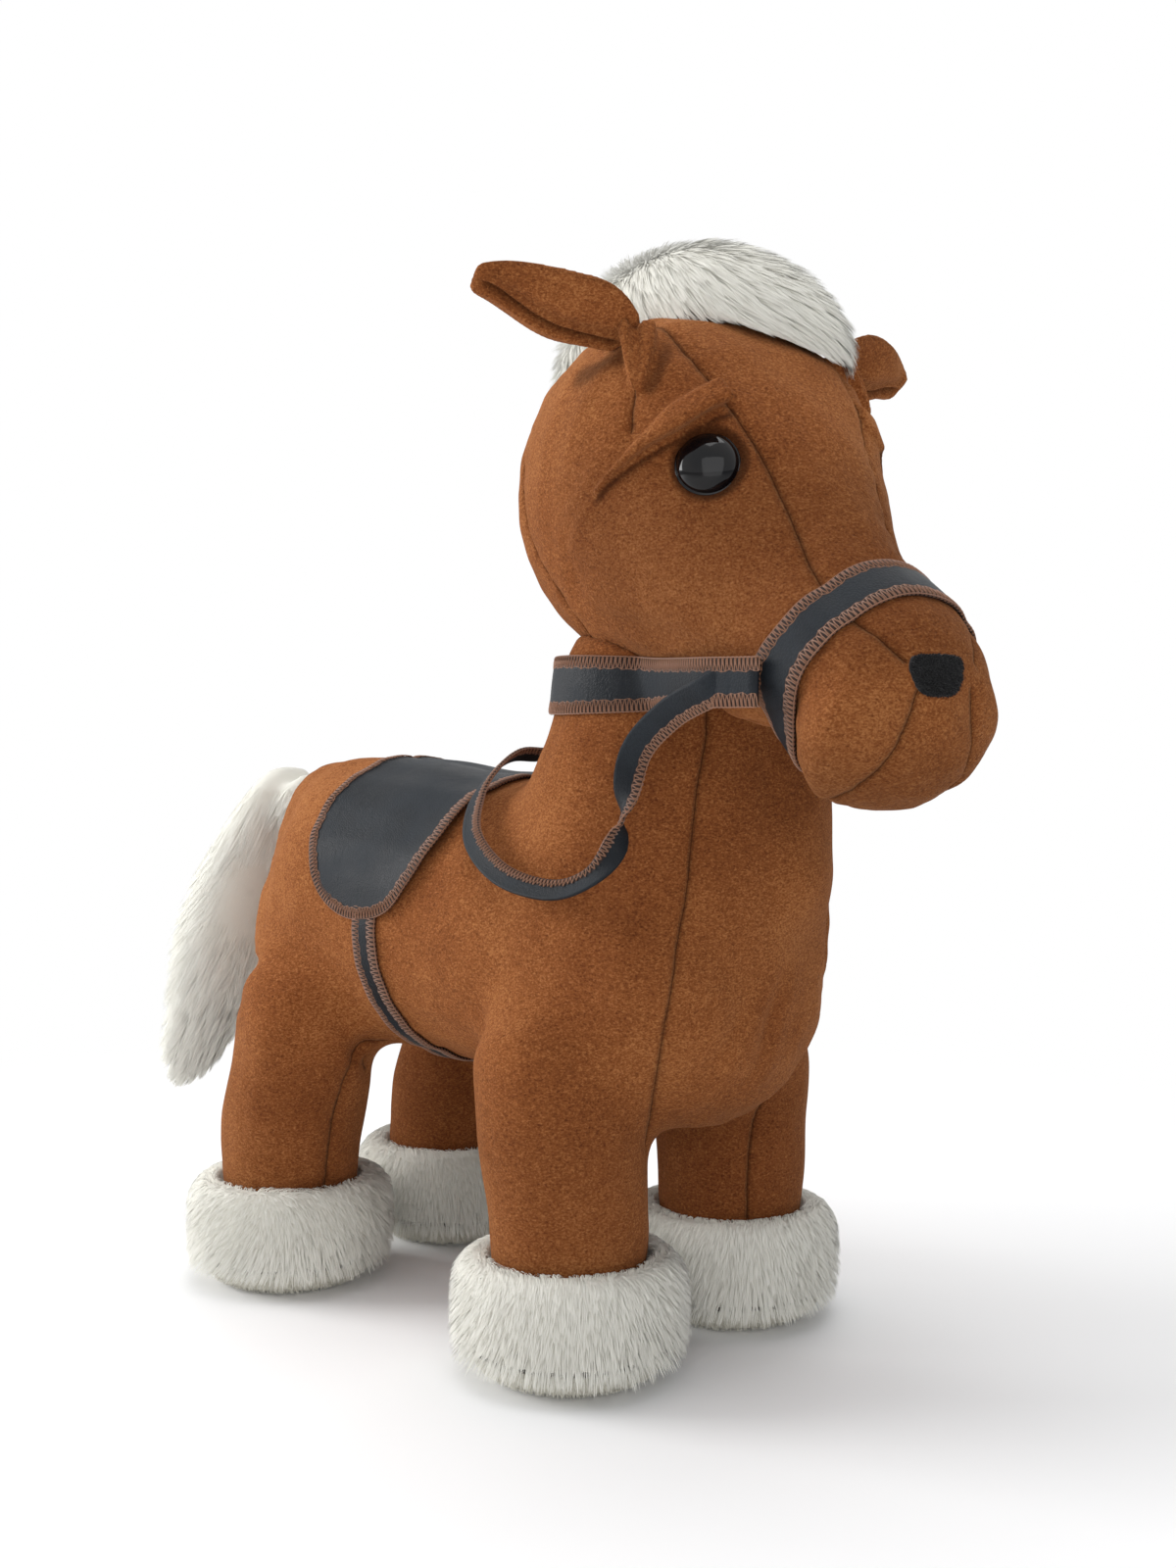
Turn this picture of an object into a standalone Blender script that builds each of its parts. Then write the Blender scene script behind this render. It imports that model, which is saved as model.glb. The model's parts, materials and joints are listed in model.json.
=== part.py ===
"""A stuffed plush horse that stands on four fur-cuffed hooves.

Frame: metres, +Z up, the horse faces +X and its right flank is towards -Y.
The origin is the middle of the bounding box's bottom face, on the floor.
"""
import math

import bmesh
import bpy
from mathutils import Matrix, Vector

MM = 0.001

# Clearances between pieces
SEAM_GAP = 0.3 * MM
OVERRUN = 20 * MM

# Stance
LEG_SPACING = 200 * MM
LEG_TRACK = 113 * MM
LEG_RADIUS = 36.5 * MM
THIGH_SPREAD = 5 * MM
THIGH_LEAN_FRONT = 4 * MM
THIGH_LEAN_REAR = 20 * MM
LEG_SIDES = 10
LEG_TOP = 173 * MM

# Hooves
SOLE_RADIUS = 44 * MM
SOLE_HEIGHT = 24 * MM
SOLE_FLAT_RADIUS = 30 * MM
CUFF_RADIUS = 53 * MM
CUFF_TOP = 56 * MM
CUFF_BOTTOM = 9 * MM
CUFF_STEPS = 20

# Torso
TORSO_LENGTH = 332 * MM
TORSO_REAR = -156 * MM
TORSO_HEIGHT = 152 * MM
TORSO_MIDDLE = 187 * MM
TORSO_WIDTH = 160 * MM

# Neck
NECK_BASE = 170 * MM
NECK_HEIGHT = 170 * MM
NECK_DEPTH = 160 * MM
NECK_WIDTH = 146 * MM
NECK_X = 99 * MM
NECK_LEAN = 22 * MM

# Head, before it is turned about the neck
HEAD_BACK = 34 * MM
HEAD_LENGTH = 262 * MM
HEAD_HEIGHT = 152 * MM
HEAD_WIDTH = 132 * MM
HEAD_MIDDLE = 389 * MM
HEAD_DROP = 100 * MM
HEAD_TURN = math.radians(-14)
HEAD_PIVOT_X = 85 * MM

HEAD_CORE_SHARES = (0.35, 0.10)

# Eyes: a dome with a flange, a shank and a lock washer, set by two angles from the head's core
EYE_AZIMUTH_RIGHT = math.radians(30)
EYE_AZIMUTH_LEFT = math.radians(38)
EYE_ELEVATION = math.radians(6.5)
EYE_RADIUS = 14 * MM
EYE_DOME = 8 * MM
EYE_FLANGE = 1.5 * MM
EYE_SEAT_DEPTH_RIGHT = 2.6 * MM
EYE_SEAT_DEPTH_LEFT = 6 * MM
EYE_SHANK_RADIUS = 2.5 * MM
EYE_SHANK_LENGTH = 15 * MM
EYE_STEPS = 16
EYE_DOME_STEPS = 6
WASHER_DEPTH = 8 * MM
WASHER_THICKNESS = 1.8 * MM
WASHER_RADIUS = 9 * MM

# Eyelids: a folded roll from behind the eye to the brow
LID_REAR_AZIMUTH = math.radians(60)
LID_REAR_ELEVATION = math.radians(4)
LID_FRONT_AZIMUTH = math.radians(25)
LID_FRONT_ELEVATION = math.radians(26)
LID_DEPTH = 7 * MM
LID_HEIGHT = 11 * MM

# Ears, each in its own frame: length along X, base line along Y
EAR_AZIMUTH = math.radians(53)
EAR_ELEVATION = math.radians(46)
EAR_LENGTH = 71 * MM
EAR_WIDTH = 37 * MM
EAR_THICKNESS = 5 * MM
EAR_CUP = 7 * MM
EAR_HINGE_GAP = 0.85 * MM
EAR_REACH_AZIMUTH = math.radians(113)
EAR_LIFT_RIGHT = math.radians(17)
EAR_LIFT_LEFT = math.radians(-2)
EAR_TWIST = math.radians(42)
EAR_SPINE_STEPS = 7
EAR_CROSS_STEPS = 4

# Mane with its forelock: a fur ridge over the poll, by angles about the head's core
MANE_FRONT_ANGLE = math.radians(40)
MANE_REAR_ANGLE = math.radians(152)
MANE_SWEEP = math.radians(24)
MANE_HEIGHT = 38 * MM
MANE_WIDTH = 74 * MM

# Nose patch
PATCH_WIDTH = 24 * MM
PATCH_HEIGHT = 16 * MM
PATCH_THICKNESS = 1.2 * MM
PATCH_Z = 305 * MM
PATCH_OFFSET = -6 * MM
PATCH_STEPS = 3

# Tail, hinged at its root
TAIL_ROOT_ANGLE = math.radians(140)
TAIL_LENGTH = 200 * MM
TAIL_WIDTH = 42 * MM
TAIL_DEPTH = 30 * MM
TAIL_ROOT_RADIUS = 8 * MM
TAIL_HINGE_GAP = 0.7 * MM
TAIL_LEAN = math.radians(27)
TAIL_SWING = math.radians(-5)

# Saddle and straps of faux leather
SADDLE_THICKNESS = 2.4 * MM
SADDLE_FRONT = 24 * MM
SADDLE_LENGTH = 95 * MM
SADDLE_HEM = 193 * MM
SADDLE_CURVE_HEIGHT = 50 * MM
SADDLE_STEPS = 2
STRAP_THICKNESS = 1.8 * MM
GIRTH_X = -16 * MM
GIRTH_WIDTH = 16 * MM
NOSEBAND_X = 250 * MM
NOSEBAND_Z = 310 * MM
NOSEBAND_WIDTH = 23 * MM
NOSEBAND_PITCH = math.radians(30)
NECK_STRAP_Z = 303 * MM
NECK_STRAP_WIDTH = 24 * MM

# Reins: one ribbon from cheek to cheek round the back of the neck
REIN_WIDTH = 13 * MM
REIN_THICKNESS = 1.6 * MM
REIN_REACH = 100 * MM
REIN_SPREAD = 83 * MM
REIN_DROP = 89 * MM
REIN_END_X = 224 * MM
REIN_STEPS = 3
REIN_CLEARANCE = 1.1 * MM

RING_SIDES = 12
HEAD_SIDES = 14
TRIM_SIDES = 8
SMOOTH_LEVELS = 1


def remove_everything():
    """Empty the file without closing it."""
    for item in list(bpy.data.objects):
        bpy.data.objects.remove(item, do_unlink=True)


def new_collection(name):
    collection = bpy.data.collections.new(name)
    bpy.context.scene.collection.children.link(collection)
    return collection


def new_material(name, colour, roughness, metallic=0.0):
    material = bpy.data.materials.new(name)
    material.use_nodes = True
    shader = material.node_tree.nodes["Principled BSDF"]
    shader.inputs["Base Color"].default_value = (*colour, 1.0)
    shader.inputs["Roughness"].default_value = roughness
    shader.inputs["Metallic"].default_value = metallic
    return material


def add_object(name, mesh, collection, material=None):
    item = bpy.data.objects.new(name, mesh)
    collection.objects.link(item)
    if material:
        mesh.materials.append(material)
    return item


def add_subdivision(item, levels):
    modifier = item.modifiers.new("Subdivision", "SUBSURF")
    modifier.levels = levels
    modifier.render_levels = levels
    facets = item.modifiers.new("Facets", "TRIANGULATE")
    facets.quad_method = "FIXED"


def add_boolean(item, cutter, operation="DIFFERENCE"):
    modifier = item.modifiers.new(operation.title(), "BOOLEAN")
    modifier.operation = operation
    modifier.solver = "EXACT"
    modifier.object = cutter


def cage_growth(sides):
    """How much larger a cage ring is than the smooth ring that it makes."""
    return 3.0 / (2.0 + math.cos(2.0 * math.pi / sides))


def ring_cage(rings, rear_pole, front_pole, sides=RING_SIDES, brows=None):
    """A closed cage through rings; a ring is its centre and its two half-axis vectors.

    Brows swell the upper corners of each ring by a share of its radius.
    """
    growth = cage_growth(sides)
    cage = bmesh.new()
    loops = []
    for number, (centre, across, upward) in enumerate(rings):
        loop = []
        brow = brows[number] if brows else 0
        for index in range(sides):
            angle = 2.0 * math.pi * (index + 0.5) / sides
            offset = across * math.cos(angle) + upward * math.sin(angle)
            swell = 1 + brow * abs(math.sin(2 * angle)) * (math.sin(angle) > 0)
            loop.append(cage.verts.new(centre + offset * growth * swell))
        loops.append(loop)
    first = cage.verts.new(rear_pole)
    last = cage.verts.new(front_pole)
    for index in range(sides):
        after = (index + 1) % sides
        cage.faces.new((first, loops[0][after], loops[0][index]))
        cage.faces.new((last, loops[-1][index], loops[-1][after]))
        for near, far in zip(loops, loops[1:]):
            cage.faces.new((near[index], near[after], far[after], far[index]))
    bmesh.ops.recalc_face_normals(cage, faces=cage.faces)
    mesh = bpy.data.meshes.new("cage")
    cage.to_mesh(mesh)
    cage.free()
    mesh.shade_smooth()
    return mesh


# Torso rings from rump to chest: place along, centre lift, height and width
TORSO_SHARES = (
    (0.03, 0.12, 0.56, 0.44),
    (0.09, 0.07, 0.88, 0.78),
    (0.24, 0.04, 1.00, 0.96),
    (0.47, 0.01, 0.91, 0.92),
    (0.67, -0.02, 0.98, 0.98),
    (0.84, -0.04, 1.06, 1.00),
    (0.95, -0.06, 0.90, 0.80),
)

# Neck rings from withers to skull: place up, lean towards the front, depth and width
NECK_SHARES = (
    (0.02, 0.00, 0.90, 0.90),
    (0.25, 0.00, 1.00, 0.97),
    (0.50, 0.35, 0.82, 0.88),
    (0.76, 0.95, 0.64, 0.80),
    (0.98, 1.00, 0.66, 0.76),
)

# Head rings from skull to muzzle: place along, drop, height, width, pitch in degrees
HEAD_SHARES = (
    (0.04, 0.04, 0.44, 0.44, 0),
    (0.12, 0.00, 0.80, 0.78, 0),
    (0.26, 0.00, 1.00, 1.02, -6),
    (0.40, 0.07, 1.04, 1.08, -22),
    (0.52, 0.26, 0.92, 1.00, -36),
    (0.63, 0.49, 0.74, 0.82, -42),
    (0.71, 0.68, 0.62, 0.68, -38),
    (0.79, 0.86, 0.61, 0.69, -30),
    (0.88, 0.96, 0.59, 0.68, -18),
    (0.96, 1.00, 0.44, 0.52, -8),
)

# How much the upper corners of each head ring swell into brows
BROW_SHARES = (0, 0, 0.04, 0.26, 0.07, -0.12, -0.08, -0.03, 0, 0)

# Leg rings from foot to hip: place up, radius, spread towards the flank
LEG_SHARES = (
    (0.00, 0.86, 0.00),
    (0.20, 0.95, 0.00),
    (0.42, 1.00, 0.25),
    (0.66, 1.06, 0.80),
    (0.88, 0.98, 1.00),
)


def torso_cage():
    rings = []
    half_height = TORSO_HEIGHT / 2
    half_width = TORSO_WIDTH / 2
    for along, lift, tall, wide in TORSO_SHARES:
        centre = Vector((TORSO_REAR + along * TORSO_LENGTH, 0, TORSO_MIDDLE + lift * TORSO_HEIGHT))
        rings.append((centre, Vector((0, wide * half_width, 0)), Vector((0, 0, tall * half_height))))
    rear = Vector((TORSO_REAR, 0, rings[0][0].z))
    front = Vector((TORSO_REAR + TORSO_LENGTH, 0, rings[-1][0].z))
    return ring_cage(rings, rear, front)


def neck_cage():
    rings = []
    for rise, lean, deep, wide in NECK_SHARES:
        centre = Vector((NECK_X + lean * NECK_LEAN, 0, NECK_BASE + rise * NECK_HEIGHT))
        rings.append((centre, Vector((0, wide * NECK_WIDTH / 2, 0)), Vector((deep * NECK_DEPTH / 2, 0, 0))))
    bottom = Vector((NECK_X, 0, NECK_BASE))
    top = Vector((NECK_X + NECK_LEAN, 0, NECK_BASE + NECK_HEIGHT))
    return ring_cage(rings, bottom, top)


def head_point(along, drop):
    """A point on the head's own middle line, by shares of its length and drop."""
    return Vector((HEAD_BACK + along * HEAD_LENGTH, 0, HEAD_MIDDLE - drop * HEAD_DROP))


def head_cage():
    rings = []
    for along, drop, tall, wide, pitch in HEAD_SHARES:
        slope = math.radians(pitch)
        upward = Vector((-math.sin(slope), 0, math.cos(slope))) * (tall * HEAD_HEIGHT / 2)
        rings.append((head_point(along, drop), Vector((0, wide * HEAD_WIDTH / 2, 0)), upward))
    return ring_cage(rings, head_point(0, HEAD_SHARES[0][1]), head_point(1, 1), HEAD_SIDES, BROW_SHARES)


def leg_cage(side, lengthwise):
    """A leg about its own foot centre; side is +1 for left, lengthwise is +1 for front."""
    foot = SOLE_HEIGHT + SEAM_GAP
    lean = Vector((-THIGH_LEAN_FRONT if lengthwise > 0 else THIGH_LEAN_REAR, side * THIGH_SPREAD, 0))
    rings = []
    for rise, wide, spread in LEG_SHARES:
        centre = spread * lean + Vector((0, 0, foot + rise * (LEG_TOP - foot)))
        radius = wide * LEG_RADIUS
        rings.append((centre, Vector((0, radius, 0)), Vector((radius, 0, 0))))
    return ring_cage(rings, Vector((0, 0, foot)), lean + Vector((0, 0, LEG_TOP)), LEG_SIDES)


def solid_of_revolution(name, profile, steps, collection, material=None):
    """Turn a profile of (radius, height) points, listed top to bottom, about Z."""
    mesh = bpy.data.meshes.new(name)
    mesh.from_pydata([(radius, 0, height) for radius, height in profile],
                     [(index, index + 1) for index in range(len(profile) - 1)], [])
    item = add_object(name, mesh, collection, material)
    screw = item.modifiers.new("Turn", "SCREW")
    screw.steps = steps
    screw.render_steps = steps
    screw.use_merge_vertices = True
    screw.merge_threshold = SEAM_GAP / 30
    return item


def slab(name, size, place, pitch, collection, material=None):
    """A box of the given size, tilted about Y."""
    box = bmesh.new()
    bmesh.ops.create_cube(box, size=1)
    bmesh.ops.scale(box, vec=size, verts=box.verts)
    mesh = bpy.data.meshes.new(name)
    box.to_mesh(mesh)
    box.free()
    item = add_object(name, mesh, collection, material)
    item.location = place
    item.rotation_euler = (0, pitch, 0)
    return item


def prism(name, outline, depth, collection, material=None):
    """A flat outline in the local XY plane, extruded evenly to both sides."""
    shape = bmesh.new()
    face = shape.faces.new([shape.verts.new((x, y, -depth / 2)) for x, y in outline])
    extruded = bmesh.ops.extrude_face_region(shape, geom=[face])["geom"]
    moved = [element for element in extruded if isinstance(element, bmesh.types.BMVert)]
    bmesh.ops.translate(shape, vec=(0, 0, depth), verts=moved)
    bmesh.ops.recalc_face_normals(shape, faces=shape.faces)
    mesh = bpy.data.meshes.new(name)
    shape.to_mesh(mesh)
    shape.free()
    return add_object(name, mesh, collection, material)


def smooth_path(points, steps, closed=False):
    """Catmull-Rom points through the given ones."""
    count = len(points)
    result = []
    spans = count if closed else count - 1
    for index in range(spans):
        if closed:
            before, start, end, after = (points[(index + shift) % count] for shift in (-1, 0, 1, 2))
        else:
            before = points[max(index - 1, 0)]
            start, end = points[index], points[index + 1]
            after = points[min(index + 2, count - 1)]
        for step in range(steps):
            share = step / steps
            result.append(0.5 * (2 * start + (end - before) * share
                                 + (2 * before - 5 * start + 4 * end - after) * share ** 2
                                 + (3 * start - before - 3 * end + after) * share ** 3))
    if not closed:
        result.append(points[-1].copy())
    return result


def grown_copy(item, growth, cutters):
    """A cutter with the item's smooth form, larger all round by the given growth."""
    copy = bpy.data.objects.new("%s_plus_%d" % (item.name, round(growth / MM * 100)), item.data)
    cutters.objects.link(copy)
    copy.parent = item.parent
    copy.location = item.location
    for modifier in item.modifiers:
        if modifier.type == "SUBSURF":
            add_subdivision(copy, modifier.levels)
    displace = copy.modifiers.new("Grow", "DISPLACE")
    displace.strength = growth
    displace.mid_level = 0
    copy.hide_render = True
    copy.display_type = "WIRE"
    return copy


def hide_cutter(item):
    item.hide_render = True
    item.display_type = "WIRE"


def direction(azimuth, elevation):
    """A unit vector; azimuth turns from the front towards the left flank."""
    return Vector((math.cos(elevation) * math.cos(azimuth),
                   math.cos(elevation) * math.sin(azimuth), math.sin(elevation)))


def surface_point(host, start, heading):
    """Where a ray from inside the host's smooth form leaves it, in the host's own axes."""
    bpy.context.view_layer.update()
    smooth = host.evaluated_get(bpy.context.evaluated_depsgraph_get())
    hit, place, normal, _ = smooth.ray_cast(start, heading)
    assert hit, host.name
    return place, normal


def axes_matrix(place, x_axis, y_axis, z_axis):
    matrix = Matrix((x_axis, y_axis, z_axis)).transposed().to_4x4()
    matrix.translation = place
    return matrix


def head_core():
    return head_point(*HEAD_CORE_SHARES)


def eye_profile(clearance=0.0):
    """The eye about its seat plane: dome, flange and shank."""
    radius = EYE_RADIUS + clearance
    points = []
    for step in range(EYE_DOME_STEPS + 1):
        angle = math.pi / 2 * (1 - step / EYE_DOME_STEPS)
        points.append((radius * math.cos(angle), EYE_FLANGE + EYE_DOME * math.sin(angle)))
    points[0] = (0, points[0][1])
    points.append((radius, -clearance))
    points.append((EYE_SHANK_RADIUS + clearance, -clearance))
    points.append((EYE_SHANK_RADIUS + clearance, -EYE_SHANK_LENGTH - clearance))
    points.append((0, -EYE_SHANK_LENGTH - clearance))
    return points


def socket_profile():
    """The room that the eye and its washer need in the head."""
    mouth = EYE_RADIUS + SEAM_GAP
    bore = EYE_SHANK_RADIUS + SEAM_GAP
    pocket = WASHER_RADIUS + SEAM_GAP
    pocket_top = SEAM_GAP - WASHER_DEPTH
    pocket_bottom = -WASHER_DEPTH - WASHER_THICKNESS - SEAM_GAP
    return [(0, OVERRUN), (mouth, OVERRUN), (mouth, -SEAM_GAP), (bore, -SEAM_GAP), (bore, pocket_top),
            (pocket, pocket_top), (pocket, pocket_bottom), (bore, pocket_bottom),
            (bore, -EYE_SHANK_LENGTH - SEAM_GAP), (0, -EYE_SHANK_LENGTH - SEAM_GAP)]


def sole_profile(growth=0.0):
    """A round pad with a flat face to stand on."""
    sides = [(wide * (SOLE_RADIUS + growth), tall * (SOLE_HEIGHT + growth)) for wide, tall in SOLE_SHARES]
    return sides + [(SOLE_FLAT_RADIUS, 0), (0, 0)]


def cuff_profile():
    height = CUFF_TOP - CUFF_BOTTOM
    return [(wide * CUFF_RADIUS, CUFF_BOTTOM + tall * height) for wide, tall in CUFF_SHARES]


def washer_profile():
    bore = EYE_SHANK_RADIUS + SEAM_GAP
    top = -WASHER_DEPTH
    bottom = -WASHER_DEPTH - WASHER_THICKNESS
    return [(bore, top), (WASHER_RADIUS, top), (WASHER_RADIUS, bottom), (bore, bottom), (bore, top)]


# Sole and cuff side profiles, top to bottom: radius and height
SOLE_SHARES = ((0.0, 1.0), (0.80, 1.0), (1.0, 0.60), (0.90, 0.20))
CUFF_SHARES = ((0.0, 1.0), (0.86, 1.0), (0.98, 0.84), (1.0, 0.45), (0.92, 0.08), (0.84, 0.0), (0.0, 0.0))

# Mane rings from brow to nape: place along the arc, height and width
MANE_SHARES = (
    (0.02, 0.34, 0.50),
    (0.12, 0.70, 0.80),
    (0.28, 1.00, 0.96),
    (0.46, 1.00, 0.94),
    (0.66, 0.80, 0.86),
    (0.88, 0.50, 0.66),
)

# Tail rings from root to tip: place along, size
TAIL_SHARES = ((0.02, 0.52), (0.16, 0.78), (0.42, 1.00), (0.72, 0.98), (0.94, 0.66))

# Eyelid rings from rear tip to front end: height and depth
LID_SHARES = ((0.25, 0.30), (0.62, 0.62), (0.90, 0.90), (1.00, 1.00), (0.72, 0.70))

# Ear half-width along its length
EAR_WIDTH_SHARES = (0.44, 0.84, 1.00, 0.96, 0.82, 0.62, 0.34)

# Saddle flap outline: place back from its front edge, rise above its hem
SADDLE_SHARES = (
    (0.00, 2.00), (0.00, 0.90), (0.07, 0.50), (0.20, 0.16), (0.36, 0.00),
    (0.58, 0.00), (0.78, 0.16), (0.92, 0.50), (0.99, 0.95), (0.95, 2.00),
)

# Nose patch outline in half-widths and half-heights, seen from the front
PATCH_SHARES = ((-1.0, 0.2), (-0.86, 0.88), (0.0, 1.0), (0.86, 0.88), (1.0, 0.2), (0.72, -0.75),
                (0.0, -1.0), (-0.72, -0.75))

# Reins from below the cheek to behind the neck: reach, spread, drop and how much the head turns them
REIN_SHARES = (
    (1.18, 0.62, -0.04, 1.0), (0.88, 0.74, -0.14, 0.6), (0.63, 0.80, -0.32, 0.3),
    (0.50, 0.90, -0.60, 0.0), (0.47, 0.96, -0.78, 0.0), (0.37, 1.03, -0.91, 0.0),
    (0.17, 1.05, -0.97, 0.0), (-0.16, 1.00, -0.92, 0.0), (-0.47, 0.84, -0.73, 0.0),
    (-0.65, 0.62, -0.54, 0.0), (-0.72, 0.42, -0.39, 0.0), (-0.75, 0.20, -0.30, 0.0),
)


def lid_mesh(head, side):
    """A folded roll over the eye; the head and the eye's socket cut its inner side."""
    rings = []
    count = len(LID_SHARES)
    core = head_core()
    places = []
    for index in range(count + 2):
        share = index / (count + 1)
        azimuth = LID_REAR_AZIMUTH + share * (LID_FRONT_AZIMUTH - LID_REAR_AZIMUTH)
        elevation = LID_REAR_ELEVATION + share * (LID_FRONT_ELEVATION - LID_REAR_ELEVATION)
        places.append(surface_point(head, core, direction(side * azimuth, elevation)))
    for index in range(count):
        place, normal = places[index + 1]
        along = (places[index + 2][0] - places[index][0]).normalized()
        across = along.cross(normal).normalized()
        tall, deep = LID_SHARES[index]
        rings.append((place, across * tall * LID_HEIGHT, normal * deep * LID_DEPTH))
    return ring_cage(rings, places[0][0], places[-1][0], TRIM_SIDES)


def ear_mesh(side):
    """A cupped leaf from its base line to its rounded tip."""
    leaf = bmesh.new()
    rows = []
    for step in range(EAR_SPINE_STEPS):
        along = step / (EAR_SPINE_STEPS - 1)
        half_width = EAR_WIDTH_SHARES[step] * EAR_WIDTH / 2
        row = []
        for cross in range(EAR_CROSS_STEPS + 1):
            across = 2 * cross / EAR_CROSS_STEPS - 1
            cup = side * EAR_CUP * (across ** 2 - 0.5) * math.sin(math.pi * along)
            row.append(leaf.verts.new((along * EAR_LENGTH, across * half_width, cup)))
        rows.append(row)
    for near, far in zip(rows, rows[1:]):
        for index in range(EAR_CROSS_STEPS):
            leaf.faces.new((near[index], far[index], far[index + 1], near[index + 1]))
    mesh = bpy.data.meshes.new("ear")
    leaf.to_mesh(mesh)
    leaf.free()
    mesh.shade_smooth()
    return mesh


def mane_direction(along):
    """From the head's core to the mane's middle line, whose front end falls to the left."""
    angle = MANE_FRONT_ANGLE + along * (MANE_REAR_ANGLE - MANE_FRONT_ANGLE)
    return direction((1 - along) * MANE_SWEEP, angle)


def mane_mesh(head):
    core = head_core()
    rings = []
    ends = []
    for share in (0, 1):
        ends.append(surface_point(head, core, mane_direction(share))[0])
    for along, tall, wide in MANE_SHARES:
        place, normal = surface_point(head, core, mane_direction(along))
        rings.append((place, Vector((0, wide * MANE_WIDTH / 2, 0)), normal * tall * MANE_HEIGHT))
    return ring_cage(rings, *ends, TRIM_SIDES)


def tail_mesh():
    """The tail hangs down from its own origin."""
    rings = []
    for along, size in TAIL_SHARES:
        centre = Vector((0, 0, TAIL_ROOT_RADIUS - along * (TAIL_LENGTH + TAIL_ROOT_RADIUS)))
        rings.append((centre, Vector((size * TAIL_DEPTH / 2, 0, 0)), Vector((0, size * TAIL_WIDTH / 2, 0))))
    return ring_cage(rings, Vector((0, 0, TAIL_ROOT_RADIUS)), Vector((0, 0, -TAIL_LENGTH)), TRIM_SIDES)


def rein_ends(head, turn):
    """Both ends of the reins, where they lie on the neck strap at the cheeks."""
    lift = STRAP_THICKNESS + REIN_CLEARANCE + REIN_THICKNESS / 2
    ends = []
    for side in (-1, 1):
        start = Vector((REIN_END_X, 0, NECK_STRAP_Z))
        place, normal = surface_point(head, start, Vector((0, side, 0)))
        ends.append(turn @ (place - Vector((HEAD_PIVOT_X, 0, 0)) + normal * lift))
    return ends


def rein_route(side):
    """The way from one cheek to behind the neck; near the cheek it follows the head's turn."""
    pivot = Vector((HEAD_PIVOT_X, 0, 0))
    route = []
    for reach, spread, drop, weight in REIN_SHARES:
        place = Vector((NECK_X + reach * REIN_REACH, side * spread * REIN_SPREAD,
                        NECK_STRAP_Z + drop * REIN_DROP))
        turn = Matrix.Rotation(HEAD_TURN * weight, 3, "Z")
        route.append(pivot + turn @ (place - pivot))
    return route


def rein_mesh(ends, hinge):
    """A ribbon on edge round the neck, from the right cheek to the left, in its hinge's axes."""
    to_hinge = hinge.inverted()
    right, left = (rein_route(side) for side in (-1, 1))
    middle = (right[-1] + left[-1]) / 2
    path = smooth_path([ends[0], *right, middle, *reversed(left), ends[1]], REIN_STEPS)
    ribbon = bmesh.new()
    rows = []
    for index, place in enumerate(path):
        along = (path[min(index + 1, len(path) - 1)] - path[max(index - 1, 0)]).normalized()
        outward = Vector((place.x - NECK_X, place.y, 0)).normalized()
        across = along.cross(outward).normalized() * REIN_WIDTH / 2
        rows.append([ribbon.verts.new(to_hinge @ (place + offset)) for offset in (-across, across)])
    for near, far in zip(rows, rows[1:]):
        ribbon.faces.new((near[0], far[0], far[1], near[1]))
    mesh = bpy.data.meshes.new("reins")
    ribbon.to_mesh(mesh)
    ribbon.free()
    return mesh


def add_thickness(item, thickness, offset=0.0):
    solidify = item.modifiers.new("Thickness", "SOLIDIFY")
    solidify.thickness = thickness
    solidify.offset = offset


def patch_outline():
    points = [Vector((x * PATCH_WIDTH / 2, y * PATCH_HEIGHT / 2, 0)) for x, y in PATCH_SHARES]
    return [(point.x, point.y) for point in smooth_path(points, PATCH_STEPS, closed=True)]


def saddle_outline(growth=0.0):
    """The side view of both flaps; its top stays open above the back."""
    points = []
    for back, rise in SADDLE_SHARES:
        height = SADDLE_HEM + rise * SADDLE_CURVE_HEIGHT
        points.append(Vector((SADDLE_FRONT - back * SADDLE_LENGTH, height, 0)))
    middle = Vector((SADDLE_FRONT - SADDLE_LENGTH / 2, SADDLE_HEM + SADDLE_CURVE_HEIGHT, 0))
    return [(point.x, point.y) for point in
            (place + (place - middle).normalized() * growth for place in smooth_path(points, SADDLE_STEPS))]


def upright(item):
    """Stand a flat outline up, so that its X and Y become the part's X and Z."""
    item.rotation_euler = (math.pi / 2, 0, 0)


class Workshop:
    """The collections, materials and frames that the pieces share."""

    def __init__(self):
        self.parts = new_collection("plush_horse")
        self.cutters = new_collection("cutters")
        self.velboa = new_material("brown_velboa", (0.31, 0.12, 0.035), 0.9)
        self.fur = new_material("white_fur", (0.86, 0.85, 0.82), 0.95)
        self.leather = new_material("slate_faux_leather", (0.035, 0.042, 0.055), 0.45)
        self.glass = new_material("smoky_plastic", (0.01, 0.01, 0.012), 0.06)
        self.pile = new_material("black_pile", (0.006, 0.006, 0.007), 0.95)
        self.washer = new_material("white_nylon", (0.75, 0.75, 0.72), 0.5)
        self.root = bpy.data.objects.new("horse_root", None)
        self.parts.objects.link(self.root)
        self.turn = bpy.data.objects.new("head_turn", None)
        self.parts.objects.link(self.turn)
        self.turn.parent = self.root
        self.turn.location = (HEAD_PIVOT_X, 0, 0)
        self.turn.rotation_euler = (0, 0, HEAD_TURN)

    def add(self, name, mesh, material, parent=None):
        item = add_object(name, mesh, self.parts, material)
        item.parent = parent or self.root
        if item.parent == self.turn:
            item.location = (-HEAD_PIVOT_X, 0, 0)
        return item

    def add_cutter(self, item, parent=None):
        item.parent = parent or self.root
        hide_cutter(item)
        return item


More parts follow.
